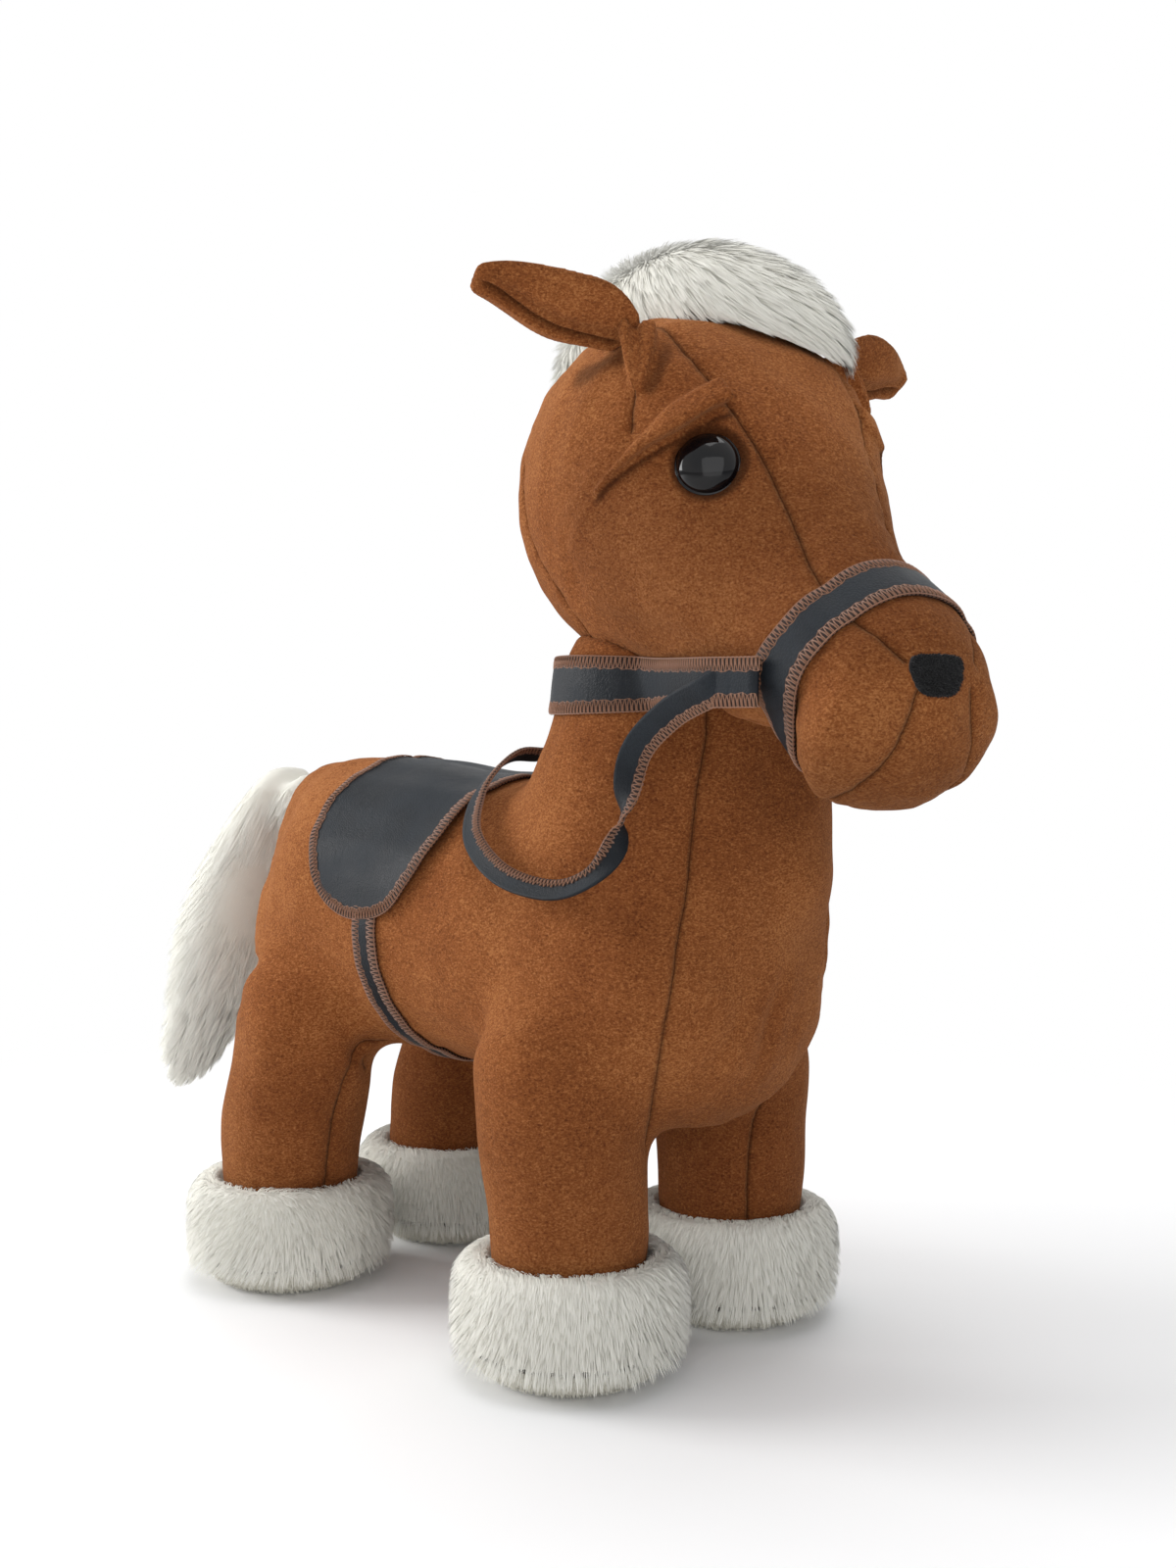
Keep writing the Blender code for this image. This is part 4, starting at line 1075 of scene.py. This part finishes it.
def make_neck_strap():
    angles = angles_between(-28, -332, 190)
    widths = [(9.0 + 3.6 * min(1.0, (0.5 - 0.5 * math.cos(angle)) * 1.25)) * MM for angle in angles]
    rows = wrapped_rows([head_tree, body_tree], head_point(150, 0, 303), HEAD_AXES @ X, HEAD_AXES @ Y, Z, widths,
                        angles, False, 1.2 * MM, 10, 3.0 * MM)
    band("neck_strap_band", "neck_strap", rows, False)


def make_girth():
    angles = angles_between(-188, 8, 110)
    rows = wrapped_rows([body_tree], body_point(-16, 0, 187), Y, Z, X, [8.0 * MM] * len(angles), angles, False,
                        1.1 * MM)
    band("girth_band", "girth_strap", rows, False)


# Saddle hem on one flap, from its front to its rear: place along, height
SADDLE_HEM = [(24, 238), (22, 228), (17, 217), (5, 201), (-10, 194), (-31, 193), (-50, 201), (-62, 217), (-68, 229),
              (-70, 240)]
SADDLE_AXIS_Z = 187.0


def barrel_place(x, angle, lift):
    centre = body_point(x, 0, SADDLE_AXIS_Z)
    heading = Vector((0, math.sin(angle), math.cos(angle)))
    return centre + heading * (outer_hit([body_tree], centre, heading) + lift), heading


def saddle_places(columns):
    """Where the sheet's columns lie along the body, closer together at both ends, and how low each hangs."""
    front, rear = SADDLE_HEM[0][0], SADDLE_HEM[-1][0]
    eased = [0.5 - 0.5 * math.cos(math.pi * (0.06 + 0.88 * column / (columns - 1))) for column in range(columns)]
    places = [front + (rear - front) * (share - eased[0]) / (eased[-1] - eased[0]) for share in eased]
    hem = smooth_route([Vector((x, 0, z)) for x, z in SADDLE_HEM], 1.0)
    return zip(places, np.interp(-np.array(places), [-point.x for point in hem], [point.z for point in hem]))


def hem_angle(x, height):
    """How far round the barrel a column comes down to its hem, found by halving."""
    low, high = 0.0, math.radians(120)
    for _ in range(24):
        angle = (low + high) / 2
        low, high = (angle, high) if barrel_place(x, angle, 0)[0].z / MM > height else (low, angle)
    return low


def make_saddle():
    columns, rows = 64, 150
    front, rear = SADDLE_HEM[0][0], SADDLE_HEM[-1][0]
    grid = [[None] * columns for _ in range(rows)]
    normals = [[None] * columns for _ in range(rows)]
    for column, (x, height) in enumerate(saddle_places(columns)):
        lowest = hem_angle(x, height)
        ahead = (x - rear) / (front - rear)
        for row in range(rows):
            share = 2 * row / (rows - 1) - 1
            away = 1.3 + 3.2 * smoothstep(ahead, 0.55, 1.0) * smoothstep(abs(share), 0.45, 0.95)
            grid[row][column], normals[row][column] = barrel_place(x, share * lowest, away * MM)
    flat = np.array([[list(point) for point in line] for line in grid])
    for _ in range(10):
        inner = flat[1:-1, 1:-1]
        inner += 0.5 * (0.25 * (flat[:-2, 1:-1] + flat[2:, 1:-1] + flat[1:-1, :-2] + flat[1:-1, 2:]) - inner)
    grid = [[Vector(point) for point in line] for line in flat]
    mesh = sheet_mesh("saddle_sheet", grid, normals, False, 1.6 * MM)
    # Once round the sheet, each side without its last point
    loop, heads = ([line[0] for line in sheet[:-1]] + list(sheet[-1][:-1]) + [line[-1] for line in sheet[:0:-1]]
                   + list(sheet[0][:0:-1]) for sheet in (grid, normals))
    kd = tree_of_points(loop)
    put_attribute(mesh, "edge", [kd.find(vertex.co)[2] / MM for vertex in mesh.vertices])
    saddle = new_object("saddle_sheet", mesh, LEATHER)
    bundle = Bundle()
    middle = sum(loop, Vector()) / len(loop)
    tangent = loop[1] - loop[0]
    inward = 1.0 if heads[0].cross(tangent).dot(middle - loop[0]) > 0 else -1.0
    overlock(bundle, loop, heads, inward, True)
    threads = bundle.build("saddle_threads", THREAD)
    for piece in (saddle, threads):
        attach(piece, "horse")
    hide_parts("saddle")
    length = length_of([line[columns // 2] for line in grid])


# Reins, from below the cheek to behind the neck: reach, spread, drop and how much the head turns them
REIN_LINE = [(1.18, 0.65, -0.04, 1.0), (0.88, 0.79, -0.14, 0.6), (0.63, 0.87, -0.32, 0.3), (0.50, 0.92, -0.60, 0.0),
             (0.47, 0.96, -0.78, 0.0), (0.37, 1.03, -0.91, 0.0), (0.17, 1.05, -0.97, 0.0),
             (-0.16, 1.00, -0.92, 0.0), (-0.47, 0.84, -0.77, 0.0), (-0.64, 0.62, -0.60, 0.0),
             (-0.70, 0.42, -0.46, 0.0), (-0.73, 0.20, -0.37, 0.0)]


REIN_CENTRE = (99, 0, 303)
REIN_SPAN = (100, 83, 89)
REIN_HALF_WIDTH = 6.3 * MM
TWIST_START, TWIST_END = 20.0, 37.0


def rein_route(side):
    route = []
    for reach, spread, drop, weight in REIN_LINE:
        x, y, z = (middle + span * part for middle, span, part in
                   zip(REIN_CENTRE, REIN_SPAN, (reach, side * spread, drop)))
        # The chest hides the left side's loop in the photo
        if side > 0 and 0.1 < reach < 0.7:
            x, y = x - 23, y + 5
        route.append(head_point(x, y, z, HEAD_TURN * weight))
    return route


def turned_over(index, total):
    """How far the strap has turned over, 0 to 1, counted in samples from its nearer end."""
    return float(smoothstep(min(index, total - 1 - index), TWIST_START, TWIST_END))


def make_reins():
    node = node_tree("reins")
    ends = [node.find_nearest(head_point(226, side * 50, 303))[0] for side in (-1, 1)]
    right, left = rein_route(-1), rein_route(1)
    back = (right[-1] + left[-1]) / 2
    route = smooth_route([ends[0], *right, back, *reversed(left), ends[1]], 3.0 * MM)
    rows = []
    for index, place in enumerate(route):
        before, after = around(route, index)
        tangent = (after - before).normalized()
        outward = Vector((place.x - body_point(*REIN_CENTRE).x, place.y - OFFSET.y, 0)).normalized()
        normal = tangent.cross(outward).normalized().cross(tangent).normalized()
        if normal.dot(outward) < 0:
            normal = -normal
        low = float(falling((place.z - OFFSET.z) / MM, 228.0, 262.0))
        behind = float(falling((place.x - OFFSET.x) / MM, 36.0, 62.0))
        lean = math.radians(38) * low * (1 - behind) + math.radians(52) * behind
        level = Z - tangent * tangent.z
        if level.length > 0.2:
            normal = (normal * math.cos(lean) + level.normalized() * math.sin(lean)).normalized()
        across = tangent.cross(normal).normalized()
        # Half a twist at the front of each loop brings the sewn edge from its right to its top
        share = turned_over(index, len(route))
        turn = Matrix.Rotation(share * math.pi, 3, tangent)
        across, normal = turn @ across, turn @ normal
        slim = REIN_HALF_WIDTH * (1 - 0.22 * share)
        rows.append((place - across * slim, place + across * slim, normal))
    band("rein_band", "reins", rows, False, body="reins", both_faces=True,
         hem=3.6 * MM, one_edge=True)


make_noseband()
make_neck_strap()
make_girth()
make_saddle()
make_reins()


# ---------------------------------------------------------------- white fur

def scattered(mesh, count):
    """Evenly spread places on a mesh, with their smooth normals."""
    mesh.calc_loop_triangles()
    corners = gathered(mesh.loop_triangles, "vertices", 3, int)
    points, normals = points_of(mesh), normals_of(mesh)
    a, b, c = (points[corners[:, index]] for index in range(3))
    area = np.linalg.norm(np.cross(b - a, c - a), axis=1)
    chosen = rng.choice(len(area), count, p=area / area.sum())
    first, second = rng.random(count), rng.random(count)
    over = first + second > 1
    first[over], second[over] = 1 - first[over], 1 - second[over]
    weights = np.stack([1 - first - second, first, second], 1)[:, :, None]
    picked = corners[chosen]
    return (points[picked] * weights).sum(1), unit((normals[picked] * weights).sum(1))


def clumped(roots, count):
    """For each root, the index of the nearest of count guide roots."""
    guides = rng.choice(len(roots), min(count, len(roots)), replace=False)
    kd = tree_of_points(roots[guides])
    nearest = np.array([kd.find(Vector(root))[1] for root in roots])
    return guides[nearest]


FULL_TURN = 6.28
STIFFNESS = 1.3


def wavy(points, size, seed):
    """A slow vector noise from crossed sines."""
    source = np.random.default_rng(seed)
    total = np.zeros_like(points)
    for _ in range(5):
        wave = source.normal(size=(3, 3)) / size
        total += np.sin(points @ wave + source.random(3) * FULL_TURN)
    return total / 5


def strands(roots, normals, start, flow, lengths, width, steps, clump, guides):
    """Tapered ribbons that leave along start and lie over towards flow."""
    count = len(roots)
    rings = [roots]
    for step in range(1, steps + 1):
        share = step / steps
        direction = unit(start * (1 - share) ** STIFFNESS + flow * share)
        rings.append(rings[-1] + direction * (lengths / steps)[:, None])
    rings = np.array(rings)
    guide = clumped(roots, guides)
    offset = rings - roots[None]
    target = roots[guide][None] + offset[:, guide]
    for step in range(1, steps + 1):
        pull = clump * (step / steps) ** 1.5
        rings[step] = rings[step] * (1 - pull) + target[step] * pull
    roll = rng.normal(0, 0.45, count)
    ahead = unit(rings[-1] - rings[0])
    side = np.cross(ahead, normals)
    weak = np.linalg.norm(side, axis=1) < 0.15
    side[weak] += rng.normal(size=(weak.sum(), 3)) * 0.3
    side = unit(side - (side * ahead).sum(1)[:, None] * ahead)
    side = unit(side * np.cos(roll)[:, None] + np.cross(ahead, side) * np.sin(roll)[:, None])
    half = width * (0.7 + 0.6 * rng.random(count)) / 2
    points, along = [], []
    for step in range(steps):
        thin = ((1 - (step / steps) ** 2 * 0.75) * half)[:, None]
        points += [rings[step] - side * thin, rings[step] + side * thin]
        along += [step / steps] * 2
    stack = np.stack(points + [rings[steps]], 1)
    along.append(1.0)
    size = stack.shape[1]
    base = np.arange(count)[:, None] * size
    quads = [base + 2 * step + np.array([0, 2, 3, 1]) for step in range(steps - 1)]
    tips = base + 2 * steps - np.array([2, 0, 1])
    soft = unit(normals + 0.12 * ahead + rng.normal(0, 0.10, (count, 3)))
    return {"points": stack.reshape(-1, 3), "quads": np.concatenate(quads), "tips": tips,
            "normals": np.repeat(soft, size, 0), "along": np.tile(along, count),
            "tint": np.repeat(rng.random(count), size)}


def fur_piece(name, core, bundle, material):
    """One mesh of a smooth core and its strands, shaded with soft normals."""
    points, normals = points_of(core), normals_of(core)
    normals[:, 2] = np.maximum(normals[:, 2], -0.2)
    first = len(points)
    faces = [list(face.vertices) for face in core.polygons]
    faces += (bundle["quads"] + first).tolist() + (bundle["tips"] + first).tolist()
    mesh = mesh_from(name, np.concatenate([points, bundle["points"]]).tolist(), faces)
    item = new_object(name, mesh, material)
    put_attribute(mesh, "soft", np.concatenate([normals, bundle["normals"]]))
    put_attribute(mesh, "along", np.concatenate([np.full(first, 0.04), bundle["along"]]))
    put_attribute(mesh, "tint", np.concatenate([np.full(first, 0.5), bundle["tint"]]))
    return item


def smooth_core(node, shrink, voxel, rounds):
    """A fur node's solid, smoothed and sunk below the tips of the strands that it will carry."""
    mesh = remeshed(cad_copy([node]), voxel)
    points = relaxed(mesh, rounds)
    set_points(mesh, points)
    set_points(mesh, points - normals_of(mesh) * shrink)
    set_points(mesh, relaxed(mesh, 6, 0))
    return mesh


def radial_from(points, middle):
    """Level ways from a middle to each point."""
    return (points - np.array(middle)) * np.array([1.0, 1.0, 0.0])


def lift_normals(bundle, radial):
    """Shade low strands as part of the band's side, so that none of them turns black underneath."""
    soft = bundle["normals"]
    soft[:, 2] = np.maximum(soft[:, 2], -0.05)
    bundle["normals"] = unit(soft + 0.5 * np.repeat(radial, len(soft) // len(radial), 0))


def make_cuffs():
    for number, foot in enumerate(FEET):
        core = smooth_core("fur_cuff_" + foot, 3.2 * MM, 2.8 * MM, 12)
        low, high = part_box("fur_cuff_" + foot)
        roots, normals = scattered(core, 30000)
        radial = radial_from(roots, (low + high) / 2)
        reach = np.linalg.norm(radial, axis=1) / MM
        keep = (reach > 37) & ((normals * unit(radial)).sum(1) > -0.35)
        roots, normals, radial = roots[keep], normals[keep], unit(radial[keep])
        swirl = wavy(roots / MM, 20.0, 40 + number)
        flow = unit(0.70 * DOWN + 0.4 * swirl + 0.40 * normals)
        start = unit(0.9 * normals + 0.5 * flow)
        lengths = (5.5 + 2.5 * rng.random(len(roots))) * MM * (1 + 0.9 * smoothstep(-normals[:, 2], 0.0, 0.6))
        bundle = strands(roots, normals, start, flow, lengths, 0.36 * MM, 4, 0.32, 1500)
        lift_normals(bundle, radial)
        piece = fur_piece("cuff_fur_" + foot, core, bundle, WHITE)
        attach(piece, "horse")
        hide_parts("fur_cuff_" + foot)


SOLE_PROFILE = [(0.2, 24.0), (30.0, 24.0), (36.0, 23.3), (40.0, 21.0), (42.6, 17.5), (43.7, 13.8), (43.2, 10.0),
                (41.4, 6.6), (38.6, 3.8), (35.0, 1.8), (31.0, 0.5), (28.0, 0.0), (0.2, 0.0)]


def make_soles():
    for number, foot in enumerate(FEET):
        low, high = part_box("hoof_sole_" + foot)
        centre = Vector(((low.x + high.x) / 2, (low.y + high.y) / 2, 0))
        sole = turned("sole_pad_" + foot, [(radius * MM, height * MM) for radius, height in SOLE_PROFILE], 72,
                      Matrix.Translation(centre), SOLE)
        core = sole.data
        points = points_of(core)
        uneven = 0.5 * wavy(points / MM, 9.0, 60 + number)[:, 0]
        heights = points[:, 2] / MM
        rim = (heights > 1.0) & (heights < 22.0)
        points[rim] += (unit(radial_from(points, centre)) * (uneven * MM)[:, None])[rim]
        set_points(core, points)
        roots, normals = scattered(core, 9000)
        keep = (roots[:, 2] > 1.2 * MM) & (roots[:, 2] < 21 * MM)
        roots, normals = roots[keep], normals[keep]
        flow = unit(0.6 * DOWN + 0.7 * normals + 0.35 * wavy(roots / MM, 12.0, 70 + number))
        lengths = np.minimum((1.2 + 0.7 * rng.random(len(roots))) * MM, np.maximum(roots[:, 2] * 0.8, 0.3 * MM))
        bundle = strands(roots, normals, normals, flow, lengths, 0.42 * MM, 2, 0.2, 500)
        lift_normals(bundle, unit(roots - np.array(centre)) * np.array([1.0, 1.0, 0.0]))
        short = fur_piece("sole_pile_" + foot, core, bundle, SOLE)
        bpy.data.objects.remove(sole, do_unlink=True)
        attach(short, "horse")
        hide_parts("hoof_sole_" + foot)


def make_tail():
    core = smooth_core("tail", 2.5 * MM, 3.0 * MM, 20)
    root = joint_root("tail")
    spots = points_of(core)
    down = smoothstep(-spots[:, 2], -root[2], -spots[:, 2].min())
    spots[:, 0] -= (19.0 - 10.0 * smoothstep(down, 0.0, 0.75)) * MM
    spots[:, 1] = root[1] + (spots[:, 1] - root[1]) * (1.55 - 0.35 * down)
    spots[:, 2] += 5.0 * MM * (1 - smoothstep(down, 0.0, 0.4))
    spots += normals_of(core) * (7.0 * (1 - smoothstep(down, 0.45, 1.0)) * MM)[:, None]
    set_points(core, spots)
    # The tail arches out of the back seam before it hangs down
    rows = []
    for ahead, rise, radius in ((4, -3, 9.5), (-2, -1, 12.0), (-9, -1, 14.5), (-17, -5, 16.0), (-24, -18, 17.0),
                                (-28, -42, 14.0)):
        middle = root + np.array([ahead, 0, rise]) * MM
        slope = math.atan2(abs(ahead - 5) * 1.6, 34.0)
        way = np.array([math.sin(slope), 0, math.cos(slope)]) if ahead < 0 else np.array([0.3, 0, 0.95])
        rows.append([Vector(middle + radius * MM * (math.cos(turn) * np.array([0, 1.0, 0]) + math.sin(turn) * way))
                     for turn in np.arange(16) * math.pi / 8])
    core = remeshed(merged([core, tube_of(rows, "tail_root")]), 2.8 * MM)
    set_points(core, relaxed(core, 14))
    spots = points_of(core)
    tip = spots[np.argmin(spots[:, 2])]
    axis = unit((tip - root)[None])[0]
    roots, normals = scattered(core, 25000)
    wave = wavy(roots / MM, 30.0, 81)
    share = ((roots - root) @ axis) / np.linalg.norm(tip - root)
    start = unit(normals * 0.40 + axis * 1.1 + 0.3 * wave)
    flow = unit(axis * 1.6 + 0.55 * wave + 0.12 * normals)
    lengths = (15 + 9 * rng.random(len(roots))) * MM
    lengths *= 1 - 0.60 * smoothstep(share, 0.80, 1.0)
    lengths *= 0.5 + 0.5 * smoothstep(share, 0.0, 0.12)
    bundle = strands(roots, normals, start, flow, lengths, 0.42 * MM, 4, 0.45, 520)
    piece = fur_piece("tail_fur", core, bundle, WHITE)
    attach(piece, "tail")
    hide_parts("tail")


def make_mane():
    core = smooth_core("mane", 2.8 * MM, 3.0 * MM, 20)
    roots, normals = scattered(core, 26000)
    local = to_head(roots)
    facing = np.array([head_tree.find_nearest(Vector(root))[3] for root in roots])
    keep = (normals[:, 2] > -0.55) & (facing > 0.3 * MM)
    roots, normals, local = roots[keep], normals[keep], local[keep]
    sideways = np.tanh((local[:, 1] + 6.0) / 28.0)
    front = smoothstep(local[:, 0], 50.0, 150.0)
    rear = falling(local[:, 0], 30.0, 70.0)
    stream = np.stack([0.9 * front - 0.7 * rear, 0.9 * sideways,
                       -0.55 * front - 0.75 * rear - 0.65 * np.abs(sideways)], 1)
    stream = unit(stream) @ np.array(HEAD_AXES).T
    wave = wavy(roots / MM, 34.0, 91)
    along = stream - (stream * normals).sum(1)[:, None] * normals
    start = unit(normals * 0.40 + along * 0.85 + 0.2 * wave)
    flow = unit(along * 1.3 + 0.35 * wave + 0.14 * normals)
    lengths = (10 + 6 * rng.random(len(roots))) * MM
    bundle = strands(roots, normals, start, flow, lengths, 0.38 * MM, 4, 0.38, 900)
    piece = fur_piece("mane_fur", core, bundle, WHITE)
    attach(piece, "horse")
    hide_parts("mane")


make_cuffs()
make_soles()
make_tail()
make_mane()


# ---------------------------------------------------------------- ears and nose

def make_ear(name, node, slim):
    """A cupped flap with a rolled lower lip, a deep crease behind it and a soft ridge above."""
    root = joint_root(node)
    mesh = remeshed(cad_copy([node]), MM)
    points = relaxed(mesh, 8)
    middle = points.mean(0)
    _, _, axes = np.linalg.svd(points - middle, full_matrices=False)
    long, wide, thick = axes
    long = long * np.sign(long @ (middle - root))
    wide = wide * -np.sign(wide[2])
    thick = thick * -np.sign(thick[2])
    reach = (points - root) @ long
    first, last = reach.min(), reach.max()
    share = (reach - first) / (last - first)
    across = (points - middle) @ wide
    depth = (points - middle) @ thick
    count = 24
    bins = np.linspace(0, 1, count + 1)
    slot = np.clip(np.digitize(share, bins) - 1, 0, count - 1)
    top = np.array([across[slot == index].min() for index in range(count)])
    bottom = np.array([across[slot == index].max() for index in range(count)])
    centres = (bins[:-1] + bins[1:]) / 2
    low, high = np.interp(share, centres, top), np.interp(share, centres, bottom)
    level = 2 * (across - low) / np.maximum(high - low, 1e-5) - 1
    ends = smoothstep(share, 0.02, 0.12) * falling(share, 0.88, 1.0)
    pinch = slim * smoothstep(share, 0.15, 0.45) * ends
    upper = np.clip(-level, 0, 1)
    points += np.outer(pinch * upper * (high - low) * 0.22, wide)
    faces_front = smoothstep(normals_of(mesh) @ thick, -0.1, 0.5)
    crease = np.interp(share, [0, 0.2, 0.45, 0.65, 0.85, 1.0], [0.62, 0.55, 0.47, 0.34, 0.16, 0.0])
    gap = (level - crease) * (high - low) / 2 / MM
    groove = np.exp(-(gap / 1.25) ** 2) * ends
    lip = np.exp(-((gap - 3.4) / 2.3) ** 2) * ends
    ridge = np.exp(-((level + 0.22 - 0.25 * np.sin(share * 7.0)) * 5.0 / 1.4) ** 2) * smoothstep(share, 0.2, 0.4) * ends
    bowl = np.exp(-((gap + 5.0) / 3.5) ** 2) * ends
    lift = (-3.4 * groove + 1.7 * lip + 1.1 * ridge - 1.1 * bowl) * faces_front
    back = 1 - faces_front
    lift = lift - 0.9 * back * np.exp(-((level - 0.1) / 0.3) ** 2) * ends
    points += np.outer(lift * MM, thick)
    sag = 3.0 * MM * (share - 0.5) ** 2 - 1.2 * MM * np.sin(share * 9.0) * ends
    points += np.outer(sag, thick)
    wave = ripple(points, (180.0, 140.0, 90.0), (-90.0, 120.0, 200.0))
    points += np.outer(0.35 * MM * wave * ends, thick)
    set_points(mesh, points)
    set_points(mesh, relaxed(mesh, 3))
    rim = np.abs(depth) / MM
    edge = (1 - np.abs(level)) * (high - low) / 2 / MM
    # No seam is near
    for measure in ("seam_near", "seam_side"):
        put_attribute(mesh, measure, np.full(len(points), 20.0))
    # Painted shade in the crease behind the lower lip and in the cup's hollow, and darker along the flap's thin outer
    # edge
    shade = 0.62 * groove * faces_front + 0.22 * bowl * faces_front
    shade = np.maximum(shade, 0.35 * np.exp(-(edge / 0.9) ** 2) * (rim < 2.0))
    put_attribute(mesh, "shade", shade)
    item = new_object(name, mesh, BROWN)
    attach(item, node)
    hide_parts(node)


def make_nose():
    mesh = remeshed(cad_copy(["nose_patch"]), 0.6 * MM)
    ahead = head_way(1, 0, 0)
    set_points(mesh, relaxed(mesh, 10) + ahead * 0.9 * MM)
    roots, ways = scattered(mesh, 9000)
    keep = ways @ ahead > 0.45
    roots, ways = roots[keep], ways[keep]
    flow = unit(ways + 0.3 * wavy(roots / MM, 6.0, 31) + np.array([0, 0, -0.3]))
    bundle = strands(roots, ways, ways, flow, (0.6 + 0.5 * rng.random(len(roots))) * MM, 0.26 * MM, 2, 0.2, 300)
    item = fur_piece("nose_pile", mesh, bundle, BLACK)
    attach(item, "horse")
    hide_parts("nose_patch")


make_ear("ear_flap_right", "ear_right", 0.15)
make_ear("ear_flap_left", "ear_left", 0.0)
make_nose()


# ---------------------------------------------------------------- floor, light and camera

def make_stage():
    floor = new_object("floor", mesh_from("floor", [(-6, -6, 0), (6, -6, 0), (6, 6, 0), (-6, 6, 0)], [(0, 1, 2, 3)]),
                       None, False)
    shader = Shader("floor_pale", (0.93, 0.93, 0.93), 0.8, Specular_IOR_Level=0.1)
    tone = shader.noise(3.0, 2.0)
    material = shader.finish(shader.mix(tone, (0.925, 0.925, 0.925), (0.945, 0.945, 0.945)))
    # Far from the toy the paper fades into the white backdrop, for the camera alone
    paths = shader.add("ShaderNodeLightPath").outputs["Is Camera Ray"]
    away = shader.vector("LENGTH", {0: shader.place}, "Value")
    far = shader.math("MULTIPLY", shader.remap(away, 0.32, 0.75), paths)
    glow = shader.add("ShaderNodeEmission", {"Color": (1.0, 1.0, 1.0, 1.0), "Strength": 1.0}).outputs[0]
    shader.surface(shader.mix_shaders(far, shader.bsdf.outputs[0], glow))
    floor.data.materials.clear()
    floor.data.materials.append(material)


def make_world():
    world = bpy.data.worlds.new("studio")
    bpy.context.scene.world = world
    world.use_nodes = True
    world.node_tree.nodes.clear()
    nodes = Nodes(world.node_tree)
    paths = nodes.add("ShaderNodeLightPath").outputs
    soft = nodes.add("ShaderNodeBackground", {"Color": (0.97, 0.98, 1.0, 1.0), "Strength": 0.42}).outputs[0]
    white = nodes.add("ShaderNodeBackground", {"Color": (1.0, 1.0, 1.0, 1.0), "Strength": 1.0}).outputs[0]
    seen = nodes.math("MAXIMUM", paths["Is Camera Ray"], paths["Is Glossy Ray"])
    seen = nodes.math("MAXIMUM", seen, paths["Is Transmission Ray"])
    nodes.add("ShaderNodeOutputWorld", {0: nodes.mix_shaders(seen, soft, white)})


def add_light(name, place, size, power):
    """A square lamp that faces the middle of the toy."""
    data = bpy.data.lights.new(name, "AREA")
    data.shape = "RECTANGLE"
    data.size = data.size_y = size
    data.energy = power
    light = bpy.data.objects.new(name, data)
    bpy.context.scene.collection.objects.link(light)
    light.location = place
    light.rotation_euler = (middle - place).to_track_quat("-Z", "Y").to_euler()


CAMERA_AZIMUTH = math.radians(43)
CAMERA_RISE = math.radians(2.5)
CAMERA_DISTANCE = 0.902
CAMERA_TARGET = body_point(31, 29, 255)
# The focal length that the fit to the photo gave, and the photo's height, in pixels
FOCAL_PIXELS, PHOTO_HEIGHT = 1850.0, 1600.0
SENSOR_HEIGHT = 36.0
CAMERA_BACK = Vector((math.sin(CAMERA_AZIMUTH) * math.cos(CAMERA_RISE),
                      -math.cos(CAMERA_AZIMUTH) * math.cos(CAMERA_RISE), math.sin(CAMERA_RISE)))
CAMERA_RIGHT = Vector((math.cos(CAMERA_AZIMUTH), math.sin(CAMERA_AZIMUTH), 0))


def make_camera():
    data = bpy.data.cameras.new("camera")
    data.sensor_fit = "VERTICAL"
    data.sensor_height = SENSOR_HEIGHT
    data.lens = SENSOR_HEIGHT * FOCAL_PIXELS / PHOTO_HEIGHT
    data.clip_start = 0.05
    camera = bpy.data.objects.new("camera", data)
    bpy.context.scene.collection.objects.link(camera)
    camera.location = CAMERA_TARGET + CAMERA_BACK * CAMERA_DISTANCE
    camera.rotation_euler = CAMERA_BACK.to_track_quat("Z", "Y").to_euler()
    bpy.context.scene.camera = camera


make_stage()
make_world()
make_camera()
middle = Vector((0, 0, 0.25))
flat_back = Vector((CAMERA_BACK.x, CAMERA_BACK.y, 0)).normalized()
for lamp, way, size, power in (("key", flat_back * -0.35 - CAMERA_RIGHT * 1.75 + Z * 0.6, 1.0, 29.0),
                               ("fill", flat_back * 1.5 + CAMERA_RIGHT * 0.2 + Z * 0.3, 1.4, 8.0),
                               ("top", Z * 1.9, 1.5, 20.0),
                               ("rim", flat_back * -1.4 + CAMERA_RIGHT * 0.6 + Z * 1.0, 1.0, 5.0)):
    add_light(lamp, middle + way, size, power)

bpy.context.scene.view_settings.view_transform = "Standard"
